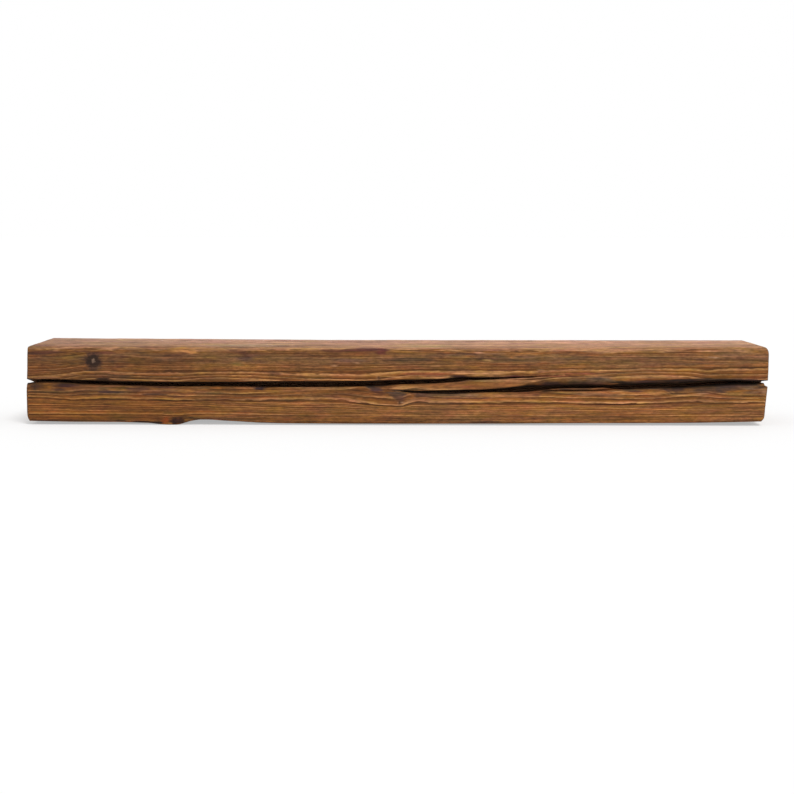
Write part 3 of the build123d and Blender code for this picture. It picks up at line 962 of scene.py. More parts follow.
    def _knot_colour(self, desk: "NodeDesk", colour: Socket, place: Socket) -> Socket:
        """Knots: a dark ragged ring round a paler core, drawn from the distance to each knot's middle.

        Args:
            desk: Where the nodes are laid out.
            colour: The colour so far.
            place: Place on the beam, from its object coordinates.

        Returns:
            The colour with the knots in it.
        """
        spots = desk.noise(place, (210.0, 210.0, 260.0), 2.0, 0.6)
        spots = desk.math("MULTIPLY", desk.math("SUBTRACT", spots, 0.5), self.knot_raggedness)
        for knot in KNOTS:
            away = desk.node("ShaderNodeVectorMath", operation="SUBTRACT")
            desk.link(place, away.inputs[0])
            away.inputs[1].default_value = (knot.x * MM, (FRONT_Y + 4.0) * MM, knot.z * MM)
            scaled = desk.node("ShaderNodeVectorMath", operation="MULTIPLY")
            desk.link(away.outputs[0], scaled.inputs[0])
            sizes = (knot.along, knot.reach, knot.across)
            scaled.inputs[1].default_value = tuple(0.5 / size / MM for size in sizes)
            length = desk.node("ShaderNodeVectorMath", operation="LENGTH")
            desk.link(scaled.outputs[0], length.inputs[0])
            distance = length.outputs["Value"]
            near = desk.math("ADD", distance, desk.math("MULTIPLY", spots, distance))
            rim = ((0.0, 0.92), (0.42, 0.92), (0.5, 0.75), (0.6, 0.3), (0.75, 0.0), (1.0, 0.0))
            inside = desk.ramp(near, rim)
            core = ((0.0, self.knot_core), (0.11, self.knot_core), (0.2, self.knot_dark))
            ring = ((0.38, self.knot_dark), (0.52, self.knot_ring), (1.0, self.knot_ring))
            body = desk.colour_ramp(near, core + ring)
            colour = desk.mix(inside, colour, body)
        return colour


class NodeDesk:
    """Short ways to add and join shader nodes in one tree."""

    def __init__(self, tree: bpy.types.NodeTree) -> None:
        """Empties the tree and keeps it."""
        self.tree = tree
        tree.nodes.clear()

    def node(self, kind: str, **settings: str) -> bpy.types.Node:
        """Adds a node of a kind, with settings such as its data type.

        Args:
            kind: The node's type.
            **settings: Its settings by name.

        Returns:
            The node.
        """
        made = self.tree.nodes.new(kind)
        for name, value in settings.items():
            setattr(made, name, value)
        return made

    def link(self, source: Socket, target: Socket) -> None:
        """Joins an output to an input."""
        self.tree.links.new(source, target)

    def feed(self, target: Socket, value: object) -> None:
        """Joins an output to an input, or sets the input to a number or a colour.

        Args:
            target: The input.
            value: An output, a number or a colour.
        """
        if isinstance(value, Socket):
            self.link(value, target)
        elif isinstance(value, tuple):
            target.default_value = (*value, 1.0)
        else:
            target.default_value = value

    def attribute(self, name: str, output: str) -> Socket:
        """Reads one of the mesh's attributes.

        Args:
            name: The attribute's name.
            output: The node's output to read it from.

        Returns:
            That output.
        """
        made = self.node("ShaderNodeAttribute")
        made.attribute_name = name
        return made.outputs[output]

    def math(self, operation: str, *values: object, clamp: bool = False) -> Socket:
        """Adds a sum on up to three numbers or outputs.

        Args:
            operation: The sum's name.
            *values: Numbers or outputs, in the inputs' order.
            clamp: Keeps the result from 0 to 1.

        Returns:
            The result.
        """
        made = self.node("ShaderNodeMath", operation=operation)
        made.use_clamp = clamp
        for target, value in zip(made.inputs, values):
            self.feed(target, value)
        return made.outputs[0]

    def noise(
        self, place: Socket, scale: tuple[float, float, float], detail: float, roughness: float
    ) -> Socket:
        """Adds noise that is stretched by a scale for each axis.

        Args:
            place: Where the noise is read.
            scale: Noise cells to the metre along each axis.
            detail: How many finer layers it has.
            roughness: How strong the finer layers are.

        Returns:
            A value round 0.5.
        """
        spread = self.node("ShaderNodeVectorMath", operation="MULTIPLY")
        self.link(place, spread.inputs[0])
        spread.inputs[1].default_value = scale
        made = self.node("ShaderNodeTexNoise")
        made.inputs["Scale"].default_value = 1.0
        made.inputs["Detail"].default_value = detail
        made.inputs["Roughness"].default_value = roughness
        self.link(spread.outputs[0], made.inputs["Vector"])
        return made.outputs["Fac"]

    def ramp(self, value: Socket, stops: tuple[Station, ...]) -> Socket:
        """Maps a number through a curve of straight pieces.

        Args:
            value: The number.
            stops: Places on the curve with the level at each.

        Returns:
            The level at the number.
        """
        made = self.node("ShaderNodeFloatCurve")
        curve = made.mapping.curves[0]
        top_value = max(1.0, max(level for _, level in stops))
        for number, (at, level) in enumerate(stops):
            if number in (0, 1):
                point = curve.points[number]
                point.location = (at, level / top_value)
            else:
                point = curve.points.new(at, level / top_value)
            point.handle_type = "VECTOR"
        made.mapping.update()
        self.link(value, made.inputs["Value"])
        if top_value == 1.0:
            return made.outputs[0]
        return self.math("MULTIPLY", made.outputs[0], top_value)

    def colour_ramp(self, value: Socket, stops: tuple[tuple[float, Colour], ...]) -> Socket:
        """Maps a number to a colour.

        Args:
            value: The number.
            stops: Places with the display colour at each.

        Returns:
            The colour at the number.
        """
        made = self.node("ShaderNodeValToRGB")
        elements = made.color_ramp.elements
        for number, (at, colour) in enumerate(stops):
            element = elements[number] if number < 2 else elements.new(at)
            element.position = at
            element.color = (*linear(colour), 1.0)
        self.link(value, made.inputs[0])
        return made.outputs["Color"]

    def mix(self, share: object, first: object, second: object) -> Socket:
        """Mixes two colours by a share of the second.

        Args:
            share: Share of the second, from 0 to 1.
            first: A colour.
            second: A colour.

        Returns:
            The mixed colour.
        """
        made = self.node("ShaderNodeMix", data_type="RGBA")
        self.feed(made.inputs["Factor"], share)
        self.feed(made.inputs["A"], first)
        self.feed(made.inputs["B"], second)
        return made.outputs["Result"]

    def scale_colour(self, colour: Socket, share: Socket) -> Socket:
        """Makes a colour lighter or darker by a number.

        Args:
            colour: The colour so far.
            share: The number it is multiplied by.

        Returns:
            The new colour.
        """
        made = self.node("ShaderNodeVectorMath", operation="SCALE")
        self.link(colour, made.inputs[0])
        self.link(share, made.inputs["Scale"])
        return made.outputs[0]

    def multiply(self, first: Socket, second: Socket) -> Socket:
        """Multiplies two colours channel by channel.

        Args:
            first: A colour.
            second: A colour.

        Returns:
            Their product.
        """
        made = self.node("ShaderNodeVectorMath", operation="MULTIPLY")
        self.link(first, made.inputs[0])
        self.link(second, made.inputs[1])
        return made.outputs[0]

    def shader(self) -> bpy.types.Node:
        """Adds the surface shader and joins it to the output.

        Returns:
            The shader's node.
        """
        made = self.node("ShaderNodeBsdfPrincipled")
        self.link(made.outputs[0], self.node("ShaderNodeOutputMaterial").inputs["Surface"])
        return made


@dataclass
class ReclaimedBeam:
    """The beam as one closed mesh, shaped from a block: arrises, checks, rod holes and brushed grain."""

    rings: GrowthRings
    left_check: DryingCheck
    right_check: DryingCheck
    name: str = "reclaimed_beam"
    column_cuts: tuple[int, int] = (5, 28)
    row_cuts: tuple[int, int] = (11, 10)
    layer_cuts: tuple[int, int] = (4, 14)
    rows_below: int = 44
    rows_between: int = 12
    root_share: float = 0.42
    end_radius: float = 2.4
    foot_radius: float = 2.0
    front_relief: float = 0.42
    top_relief: float = 0.40
    sawn_relief: float = 0.16
    saw_waviness: float = 0.25
    fine_roughness: float = 0.10
    # Depth of the groove round a knot, and how far its middle stands up
    knot_groove: float = 0.35
    knot_rise: float = 0.25
    # How much the arrises' wear changes along the beam
    wear_change: float = 0.25
    # Half the patch of the grid that becomes a rod hole's mouth, in radii
    hole_patch: float = 1.35
    # Steps in which a rod hole is sunk, before the last one
    hole_steps: tuple[float, float, float] = (0.8, 5.0, 30.0)
    # Where a coloured mark starts to fade and where it ends, as a share of its size
    mark_edge: Station = (0.55, 1.12)
    # How far behind the front its marks fade
    mark_reach: Station = (8.0, 26.0)
    # Darker towards the left end
    tone: tuple[Station, ...] = ((-500, 0.66), (-380, 0.72), (-200, 0.88), (0, 0.92), (200, 1.0), (500, 1.0))
    # Change of red, green and blue low on the left, where the wood is a warmer brown
    warm_tint: tuple[float, float, float] = (0.07, -0.01, -0.26)
    # Where that brown fades: along the beam, and up the front
    warm_until: Station = (-340.0, -180.0)
    warm_below: Station = (36.0, 44.0)
    # The lower arris is darker and the wood a quarter of the way up is lighter
    tone_up: tuple[Station, ...] = (
        (0, 0.84), (8, 0.86), (13, 0.95), (20, 1.0), (27, 1.09), (33, 0.98), (39, 0.94), (46, 1.0),
        (66, 0.98), (80, 1.0),
    )
    # Colour of the paler top, ahead and behind, and how much it covers the wood's own: partly bleached wood,
    # partly painted light where the top faces the light, and towards the back a painted sheen
    top_ahead_bleach_and_light: Colour = (174, 129, 96)
    top_behind_bleach_and_sheen: Colour = (205, 165, 148)
    top_bleach_and_light: float = 0.74
    # Strength of the long and of the short light patches on the top
    top_patches: tuple[float, float] = (0.20, 0.24)
    # How boldly the rings show on the top and on the other faces, and how much that changes
    bold_top: float = 0.55
    bold_sawn: float = 0.5
    bold_change: float = 0.1
    # How boldly the rings show at each height of the front, below and above the checks
    bold_below: tuple[Station, ...] = (
        (0, 0.40), (8, 0.55), (14, 0.9), (20, 1.0), (30, 0.95), (36, 0.68), (42, 0.62)
    )
    bold_above: tuple[Station, ...] = (
        (62, 0.60), (66, 0.62), (76, 0.62), (84, 0.55), (92, 0.48), (104, 0.5)
    )
    # Stretches in which the right check's lip grows wide and narrow again
    lip_widens: Station = (178.0, 200.0)
    lip_narrows: Station = (286.0, 310.0)
    # Depth in a check at which painted shade starts on its upper and its lower wall, and how much later on
    # the wide lip
    painted_shade_above: Station = (0.2, 7.0)
    painted_shade_below: Station = (2.4, 8.6)
    painted_shade_fade: float = 3.0
    # Depth over which painted light takes over deep in the checks, where little light reaches
    painted_light_depth: Station = (10.0, 24.0)
    # Painted shade on the rod holes' walls and ends
    hole_shade: float = 0.3
    # How much closer the columns stand at the ends, and how far in from them
    dense_ends: Station = (5.0, 4.0)
    # The same for the layers behind the front and before the back, as a share of the depth
    dense_front: Station = (1.3, 0.05)
    dense_back: Station = (1.2, 0.015)
    # Places where the columns stand closer together: middle, spread and how much closer
    dense_columns: tuple[tuple[float, float, float], ...] = (
        (-300, 36, 1.1), (-409, 14, 1.2), (0, 26, 0.9), (193, 12, 0.5), (-25, 14, 0.4)
    )
    # How far in from an end its outline still bends the beam
    lean_reach: float = 30.0
    # Height and set-back of the corner that broke off the right check's lower lip
    broken_corner: tuple[Station, ...] = (
        (53.0, 0.0), (53.9, 0.9), (54.6, 4.2), (57.6, 4.8), (59.2, 6.6), (61, 0.0)
    )
    # How far in from the end that corner reaches, and the depth over which it fades
    break_reach: float = 9.0
    break_fade: Station = (-62.0, -30.0)

    @property
    def columns(self) -> int:
        """Number of cells along the beam."""
        return (self.column_cuts[0] + 1) * (self.column_cuts[1] + 1)

    @property
    def rows(self) -> int:
        """Number of cells up the beam."""
        return (self.row_cuts[0] + 1) * (self.row_cuts[1] + 1)

    @property
    def layers(self) -> int:
        """Number of cells from the front to the back."""
        return (self.layer_cuts[0] + 1) * (self.layer_cuts[1] + 1)

    def build(self) -> bpy.types.Object:
        """Makes the beam's mesh.

        Returns:
            The finished object at the origin.
        """
        beam = self._block()
        grid = self._grid_numbers(beam)
        points, inward, end = self._shape(grid)
        self._write(beam, points)
        self._keep(beam.data, "inward", "FLOAT", "value", inward)
        self._keep(beam.data, "end", "FLOAT", "value", end)
        for hole_x in ROD_HOLE_X:
            self._bore(beam, hole_x)
        self._grain(beam)
        self._finish_shading(beam)
        return beam

    def _block(self) -> bpy.types.Object:
        """Adds a block and subdivides its edges one direction at a time, so that every side is a grid.

        Returns:
            The block's object.
        """
        bpy.ops.object.select_all(action="DESELECT")
        bpy.ops.mesh.primitive_cube_add(size=1.0, location=(0.0, 0.0, 0.0))
        beam = bpy.context.object
        beam.name = self.name
        bpy.ops.object.mode_set(mode="EDIT")
        bpy.ops.mesh.select_mode(type="EDGE")
        for axis, cuts in enumerate((self.column_cuts, self.layer_cuts, self.row_cuts)):
            for number in cuts:
                self._select_edges(beam, axis)
                bpy.ops.mesh.subdivide(number_cuts=number)
        bpy.ops.object.mode_set(mode="OBJECT")
        return beam

    @staticmethod
    def _select_edges(beam: bpy.types.Object, axis: int) -> None:
        """Selects the edges that run along one axis, and nothing else.

        Args:
            beam: The beam's object.
            axis: 0, 1 or 2 for X, Y or Z.
        """
        bpy.ops.mesh.select_all(action="DESELECT")
        mesh = bmesh.from_edit_mesh(beam.data)
        for edge in mesh.edges:
            along = edge.verts[1].co - edge.verts[0].co
            edge.select = abs(along[axis]) > 0.99 * along.length
        bmesh.update_edit_mesh(beam.data)

    def _grid_numbers(self, beam: bpy.types.Object) -> np.ndarray:
        """The column, layer and row of each vertex.

        Args:
            beam: The beam's object.

        Returns:
            Three whole numbers for each vertex.
        """
        raw = np.empty(len(beam.data.vertices) * 3)
        beam.data.vertices.foreach_get("co", raw)
        share = raw.reshape(-1, 3) + 0.5
        return np.rint(share * (self.columns, self.layers, self.rows)).astype(int)

    def _column_places(self) -> np.ndarray:
        """Where the columns stand along the beam: closer together at ends, knots and the checks' tips.

        Returns:
            Places along the beam, in millimetres.
        """
        fine = np.linspace(-LENGTH / 2, LENGTH / 2, 4001)
        closer, reach = self.dense_ends
        density = 1.0 + closer * np.exp(-(LENGTH / 2 - np.abs(fine)) / reach)
        for middle, spread, extra in self.dense_columns:
            density += extra * np.exp(-(((fine - middle) / spread) ** 2))
        density += 0.3 * ((fine > 60) & (fine < 300)) + 0.2 * (fine > 300)
        share = np.concatenate([[0.0], np.cumsum((density[1:] + density[:-1]) / 2)])
        return np.interp(np.linspace(0, share[-1], self.columns + 1), share, fine)

    def _front_rows(self, x: np.ndarray) -> tuple[np.ndarray, np.ndarray]:
        """Depth and height of every row on the front face.

        Args:
            x: Places of the columns.

        Returns:
            Depth behind the hewn face and height, each with one column of numbers for each row.
        """
        low = smooth_curve(LOWER_ARRIS, x, ARRIS_EASING)
        right_in, right_z, _ = self.right_check.rows(x)
        left_in, left_z, _ = self.left_check.rows(x)
        rows_above = self.rows + 1 - self.rows_below - self.rows_between - right_z.shape[1] - left_z.shape[1]
        below = low[:, None] + (right_z[:, :1] - low[:, None]) * np.arange(self.rows_below) / self.rows_below
        gap = np.arange(1, self.rows_between + 1) / (self.rows_between + 1)
        between = right_z[:, -1:] + (left_z[:, :1] - right_z[:, -1:]) * gap
        climb = np.arange(1, rows_above + 1) / rows_above
        top = smooth_curve(TOP_FRONT, x, TOP_EASING)[:, None]
        above = left_z[:, -1:] + (top - left_z[:, -1:]) * climb
        height = np.concatenate([below, right_z, between, left_z, above], axis=1)
        flat = [np.zeros((len(x), n)) for n in (self.rows_below, self.rows_between, rows_above)]
        inward = np.concatenate([flat[0], right_in, flat[1], left_in, flat[2]], axis=1)
        return inward, height

    def _layer_shares(self) -> np.ndarray:
        """How far back each layer lies, from 0 to 1: closer together at the front and back arrises.

        Returns:
            Shares of the depth.
        """
        fine = np.linspace(0, 1, 2001)
        ahead, ahead_reach = self.dense_front
        behind, behind_reach = self.dense_back
        density = 1.0 + ahead * np.exp(-fine / ahead_reach) + behind * np.exp(-(1 - fine) / behind_reach)
        share = np.concatenate([[0.0], np.cumsum((density[1:] + density[:-1]) / 2)])
        return np.interp(np.linspace(0, share[-1], self.layers + 1), share, fine)

    def _shape(self, grid: np.ndarray) -> tuple[np.ndarray, np.ndarray, np.ndarray]:
        """Moves the block's grid to the worn beam's surface.

        Args:
            grid: Column, layer and row of each vertex.

        Returns:
            Places in millimetres, how deep in a check each vertex lies, and 1 for the vertices of the ends.
        """
        column, layer, row = grid.T
        stations = self._column_places()
        inward, height = self._front_rows(stations)
        share = self._layer_shares()[layer]
        x = stations[column]
        low = smooth_curve(LOWER_ARRIS, x, ARRIS_EASING)
        hewn = FRONT_Y + smooth_curve(HEWN_FRONT, x, HEWN_EASING)
        front_y = hewn + inward[column, row]
        y = front_y + (BACK_Y - front_y) * share
        top_front = smooth_curve(TOP_FRONT, x, TOP_EASING)
        top_back = smooth_curve(TOP_BACK, x, TOP_EASING)
        roof = top_front + (top_back - top_front) * share
        back_z = top_back * self._back_share(x, row)
        z = height[column, row] + (back_z - height[column, row]) * share
        floor = np.maximum(0.0, low - UNDERSIDE_SLOPE * (y - hewn))
        straight = low * (1 - share)
        z += (floor - straight) * (1 - row / self.rows)
        points = np.stack([x, y, z], axis=1)
        depth = inward[column, row] * np.clip(1 - share * 1.4, 0, 1) * (layer == 0)
        self._round_arrises(points, hewn, floor, roof, depth < 0.01)
        self._shape_ends(points)
        at_end = ((column == 0) | (column == self.columns)).astype(float)
        return points, depth, at_end

    def _back_share(self, x: np.ndarray, row: np.ndarray) -> np.ndarray:
        """Shares of the height at which the rows end on the wall face.

        The row of each end's open check ends lower down than its root, so that no rows cross on a sawn end.

        Args:
            x: Places along the beam.
            row: The row at each place.

        Returns:
            Shares from 0 at the underside to 1 at the top.
        """
        along = x / LENGTH + 0.5
        right_root = self.rows_below + self.right_check.wall_rows
        left_root = right_root + self.right_check.wall_rows + self.rows_between + self.left_check.wall_rows
        root = left_root + (right_root - left_root) * along
        above = self.root_share + (1 - self.root_share) * (row - root) / (self.rows - root)
        return np.where(row < root, self.root_share * row / root, above)

    def _round_arrises(
        self, points: np.ndarray, hewn: np.ndarray, floor: np.ndarray, roof: np.ndarray, shallow: np.ndarray
    ) -> None:
        """Rounds the long arrises and those of the ends, each to its own wear.

        Args:
            points: Places to move, one a row.
            hewn: Depth of the front face at each place.
            floor: Height of the underside at each place.
            roof: Height of the top at each place.
            shallow: Which places aren't inside a check.
        """
        x = points[:, 0]
        chatter = 1.0 + self.wear_change * value_noise(points / (23.0, 31.0, 31.0), 5)
        wide = smooth_curve(ARRIS_WIDTH, x, WEAR_EASING) * chatter
        tall = smooth_curve(ARRIS_HEIGHT, x, WEAR_EASING) * chatter
        foot = self.foot_radius * chatter
        ahead, above = round_corner(points[:, 1] - hewn, roof - points[:, 2], wide, tall, shallow)
        points[:, 1], points[:, 2] = hewn + ahead, roof - above
        ahead, under = round_corner(points[:, 1] - hewn, points[:, 2] - floor, foot, foot, shallow)
        points[:, 1], points[:, 2] = hewn + ahead, floor + under
        behind, above = round_corner(BACK_Y - points[:, 1], roof - points[:, 2], foot, foot, shallow)
        points[:, 1], points[:, 2] = BACK_Y - behind, roof - above
        behind, under = round_corner(BACK_Y - points[:, 1], points[:, 2], foot, foot, shallow)
        points[:, 1], points[:, 2] = BACK_Y - behind, under
        reach = self.end_radius * chatter
        for side in (-1, 1):
            beyond = LENGTH / 2 - side * points[:, 0]
            ahead, left = round_corner(points[:, 1] - hewn, beyond, reach, reach, shallow)
            points[:, 1], points[:, 0] = hewn + ahead, side * (LENGTH / 2 - left)
            behind, left = round_corner(BACK_Y - points[:, 1], left, reach, reach, shallow)
            points[:, 1], points[:, 0] = BACK_Y - behind, side * (LENGTH / 2 - left)
            above, left = round_corner(roof - points[:, 2], left, reach, reach, shallow)
            points[:, 2], points[:, 0] = roof - above, side * (LENGTH / 2 - left)

    def _shape_ends(self, points: np.ndarray) -> None:
        """Gives both ends their leaning, worn outlines, and breaks the lip's corner at the right end.

        Args:
            points: Places to move, one a row.
        """
        x, y, z = points.T
        left = read_line(LEFT_END, z) * np.exp(-(x + LENGTH / 2) / self.lean_reach)
        right = read_line(RIGHT_END, z) * np.exp(-(LENGTH / 2 - x) / self.lean_reach)
        broken = read_line(self.broken_corner, z)
        fade = np.exp(-(((LENGTH / 2 - x) / self.break_reach) ** 2)) * (1 - ease_step(*self.break_fade, y))
        points[:, 0] = x + left - right - broken * fade

    @staticmethod
    def _write(beam: bpy.types.Object, points: np.ndarray) -> None:
        """Gives the mesh its places, from millimetres."""
        beam.data.vertices.foreach_set("co", (points * MM).ravel())
        beam.data.update()

    def _bore(self, beam: bpy.types.Object, hole_x: float) -> None:
        """Sinks a blind rod hole into the wall face: a patch of the grid becomes its round mouth.

        Args:
            beam: The beam's object.
            hole_x: Place of the hole along the beam.
        """
        middle = Vector((hole_x * MM, BACK_Y * MM, ROD_HEIGHT * MM))
        half = self.hole_patch * ROD_HOLE_RADIUS * MM
        bpy.ops.object.select_all(action="DESELECT")
        beam.select_set(True)
        bpy.context.view_layer.objects.active = beam
        bpy.ops.object.mode_set(mode="EDIT")
        bpy.ops.mesh.select_mode(type="FACE")
        bpy.ops.mesh.select_all(action="DESELECT")
        mesh = bmesh.from_edit_mesh(beam.data)
        for face in mesh.faces:
            away = face.calc_center_median() - middle
            face.select = abs(away.y) < MM and abs(away.x) < half and abs(away.z) < half
        bmesh.update_edit_mesh(beam.data)
        bpy.ops.mesh.dissolve_faces()
        mesh = bmesh.from_edit_mesh(beam.data)
        mouth = next(face for face in mesh.faces if face.select)
        for vertex in mouth.verts:
            away = vertex.co - middle
            away.y = 0.0
            vertex.co = middle + away.normalized() * ROD_HOLE_RADIUS * MM
        bmesh.update_edit_mesh(beam.data)
        for step in (*self.hole_steps, ROD_HOLE_DEPTH - sum(self.hole_steps)):
            bpy.ops.mesh.extrude_region_move(TRANSFORM_OT_translate={"value": (0.0, -step * MM, 0.0)})
        bpy.ops.object.mode_set(mode="OBJECT")

    def _grain(self, beam: bpy.types.Object) -> None:
        """Brushes the grain into the surface and keeps what the material needs to know at each vertex.

        Args:
            beam: The beam's object.
        """
        mesh = beam.data
        count = len(mesh.vertices)
        places, normals = np.empty(count * 3), np.empty(count * 3)
        mesh.vertices.foreach_get("co", places)
        mesh.vertex_normals.foreach_get("vector", normals)
        points, normals = places.reshape(-1, 3) / MM, normals.reshape(-1, 3)
        inward, end = np.empty(count), np.empty(count)
        mesh.attributes["inward"].data.foreach_get("value", inward)
        mesh.attributes["end"].data.foreach_get("value", end)
        hole = self._in_rod_hole(points)
        settled = self.rings.undisturbed(points)
        contrast = self._contrast(points, normals, inward, hole)
        carved = self._carve(points, normals, settled, contrast, hole)
        self._write(beam, carved)
        self._keep(mesh, "grain_at", "FLOAT_VECTOR", "vector", settled * MM)
        self._keep(mesh, "stain_and_painted_shading", "FLOAT_COLOR", "color", self._stains_and_painted_shading(points, normals))
        self._keep(mesh, "shade", "FLOAT", "value", self._check_shade(points, normals, inward, hole))
        self._keep(mesh, "relief", "FLOAT", "value", contrast)
        self._keep(mesh, "tone", "FLOAT_COLOR", "color", self._tone_colour(points, normals))

    def _check_shade(
        self, points: np.ndarray, normals: np.ndarray, inward: np.ndarray, hole: np.ndarray
    ) -> np.ndarray:
        """How much painted shade darkens a check's lips and walls, starting deeper on the wide lip at the
        right, and how much painted light lightens its depth.

        Args:
            points: Places in millimetres, one a row.
            normals: Which way the surface faces at each.
            inward: How deep in a check each vertex lies.
            hole: 1 on the rod holes.

        Returns:
            Up to 0.5 for the painted shade at the lip, and from there to 1 for the painted light deeper in.
        """
        wide_lip = ease_step(*self.lip_widens, points[:, 0])
        wide_lip = wide_lip * (1 - ease_step(*self.lip_narrows, points[:, 0]))
        above, wide_above = self.painted_shade_above
        below, wide_below = self.painted_shade_below
        start = np.where(normals[:, 2] < 0, above + wide_above * wide_lip, below + wide_below * wide_lip)
        shade = 0.5 * ease_step(start, start + self.painted_shade_fade, inward)
        shade = shade + 0.5 * ease_step(*self.painted_light_depth, inward)
        return np.maximum(shade, self.hole_shade * hole)

    def _tone_colour(self, points: np.ndarray, normals: np.ndarray) -> np.ndarray:
        """How light and how warm the wood is: broad changes along and up the beam, and patches on its top.

        Args:
            points: Places in millimetres, one a row.
            normals: Which way the surface faces at each.

        Returns:
            Red, green, blue and alpha that the colour is multiplied by, one row for each vertex.
        """
        facing_up, facing_front = np.clip(normals[:, 2], 0, 1), np.clip(-normals[:, 1], 0, 1)
        tone = 1 - (1 - read_line(self.tone, points[:, 0])) * (1 - 0.2 * facing_up)
        tone *= 1 + (read_line(self.tone_up, points[:, 2]) - 1) * facing_front
        patches = self.top_patches[0] * value_noise(points / (38.0, 24.0, 40.0), 61)
        patches += self.top_patches[1] * value_noise(points / (9.0, 20.0, 40.0), 62)
        tone *= 1 + facing_up * patches
        warm = 1 - ease_step(*self.warm_until, points[:, 0])
        warm *= (1 - ease_step(*self.warm_below, points[:, 2])) * facing_front
        result = np.ones((len(points), 4))
        result[:, :3] = tone[:, None] * (1 + warm[:, None] * np.array(self.warm_tint))
        return result

    @staticmethod
    def _keep(mesh: bpy.types.Mesh, name: str, kind: str, field: str, values: np.ndarray) -> None:
        """Stores one value for each vertex as a mesh attribute."""
        values = np.ascontiguousarray(values).ravel()
        mesh.attributes.new(name, kind, "POINT").data.foreach_set(field, values)

    @staticmethod
    def _in_rod_hole(points: np.ndarray) -> np.ndarray:
        """1 for the vertices on a rod hole's mouth, wall or end, and 0 elsewhere.

        Args:
            points: Places in millimetres, one a row.

        Returns:
            One number for each vertex.
        """
        result = np.zeros(len(points))
        for hole_x in ROD_HOLE_X:
            away = np.hypot(points[:, 0] - hole_x, points[:, 2] - ROD_HEIGHT)
            result[(away < ROD_HOLE_RADIUS + 0.2) & (points[:, 1] > BACK_Y - ROD_HOLE_DEPTH - 1)] = 1.0
        return result

    def _contrast(
        self, points: np.ndarray, normals: np.ndarray, inward: np.ndarray, hole: np.ndarray
    ) -> np.ndarray:
        """How strongly the rings show: bold beside the checks, faint near the arrises and on sawn faces.

        Args:
            points: Places in millimetres, one a row.
            normals: Which way the surface faces at each.
            inward: How deep in a check each vertex lies.
            hole: 1 on the rod holes.

        Returns:
            Shares from 0 to 1.
        """
        z = points[:, 2]
        front = np.where(z < 50, read_line(self.bold_below, z), read_line(self.bold_above, z))
        top = self.bold_top + self.bold_change * value_noise(points / (160.0, 20.0, 20.0), 21)
        sawn = self.bold_sawn + self.bold_change * value_noise(points / (120.0, 20.0, 20.0), 22)
        facing_front = np.clip(-normals[:, 1], 0, 1) ** 2
        facing_up = np.clip(normals[:, 2], 0, 1) ** 2
        result = front * facing_front + top * facing_up + sawn * np.clip(1 - facing_front - facing_up, 0, 1)
        patchy = 0.86 + 0.28 * value_noise(points / (75.0, 14.0, 9.0), 23)
        return np.clip(result * patchy, 0, 1) * (1 - ease_step(0.5, 5.0, inward)) * (1 - hole)

    def _carve(
        self,
        points: np.ndarray,
        normals: np.ndarray,
        settled: np.ndarray,
        contrast: np.ndarray,
        hole: np.ndarray,
    ) -> np.ndarray:
        """Sinks soft wood below the hard late wood, roughens the face and raises the knots.

        Args:
            points: Places on the smooth beam, in millimetres.
            normals: Which way the surface faces at each.
            settled: The same places in undisturbed grain.
            contrast: How strongly the rings show.
            hole: 1 on the rod holes.

        Returns:
            The carved places.
        """
        facing_front = np.clip(-normals[:, 1], 0, 1)
        facing_up = np.clip(normals[:, 2], 0, 1)
        reach = np.maximum(self.front_relief * facing_front, self.top_relief * facing_up)
        reach = np.maximum(reach, self.sawn_relief)
        low = (1.0 - self.rings.ridge(self.rings.age(settled))) * contrast * reach
        waves = 0.5 + 0.5 * value_noise(points / (47.0, 19.0, 11.0), 31)
        low += self.saw_waviness * waves * np.maximum(facing_front, facing_up)
        fine = 1 + value_noise(points / (9.0, 3.0, 2.2), 32)
        low += self.fine_roughness * fine * np.maximum(facing_front, facing_up)
        distance = self._knot_distance(points)
        ring = np.exp(-(((distance - 1.0) / 0.22) ** 2))
        low += self.knot_groove * ring - self.knot_rise * np.clip(1 - distance, 0, 1) * facing_front
        low = np.clip(low, 0.0, None) * (1 - hole)
        return points - normals * low[:, None]

    @staticmethod
    def _knot_distance(points: np.ndarray) -> np.ndarray:
        """Distance from the nearest knot's middle, where 1 is its rim, up to 2.

        Args:
            points: Places in millimetres, one a row.

        Returns:
            One number for each vertex.
        """
        x, y, z = points.T
        nearest = np.full(len(points), 2.0)
        wobble = 0.16 * value_noise(points / (4.0, 8.0, 4.0), 41)
        for knot in KNOTS:
            along, across = (x - knot.x) / knot.along, (z - knot.z) / knot.across
            back = np.clip(y - FRONT_Y - 4.0, 0, None) / knot.reach
            nearest = np.minimum(nearest, np.sqrt(along**2 + across**2 + back**2) + wobble)
        return np.clip(nearest, 0.0, 2.0)

    def _stains_and_painted_shading(self, points: np.ndarray, normals: np.ndarray) -> np.ndarray:
        """Colour and strength of the stains at each vertex, laid over each other in their order: the paler
        top, partly painted light and sheen, and the marks, among them painted shade along the right check's
        mouth.

        Args:
            points: Places in millimetres, one a row.
            normals: Which way the surface faces at each.

        Returns:
            Red, green, blue and strength, one row for each vertex.
        """
        x, y, z = points.T
        colour = np.zeros((len(points), 3))
        cover = np.zeros(len(points))
        ragged = 0.30 * value_noise(points / (14.0, 5.0, 2.6), 51)
        ragged += 0.16 * value_noise(points / (5.0, 3.0, 1.3), 52)
        top_edge = 0.42 * value_noise(points / (26.0, 5.0, 2.5), 53)
        top_edge += 0.2 * value_noise(points / (8.0, 3.0, 1.5), 54)
        on_top = ease_step(0.3, 0.9, normals[:, 2] + top_edge) * (z > 60)
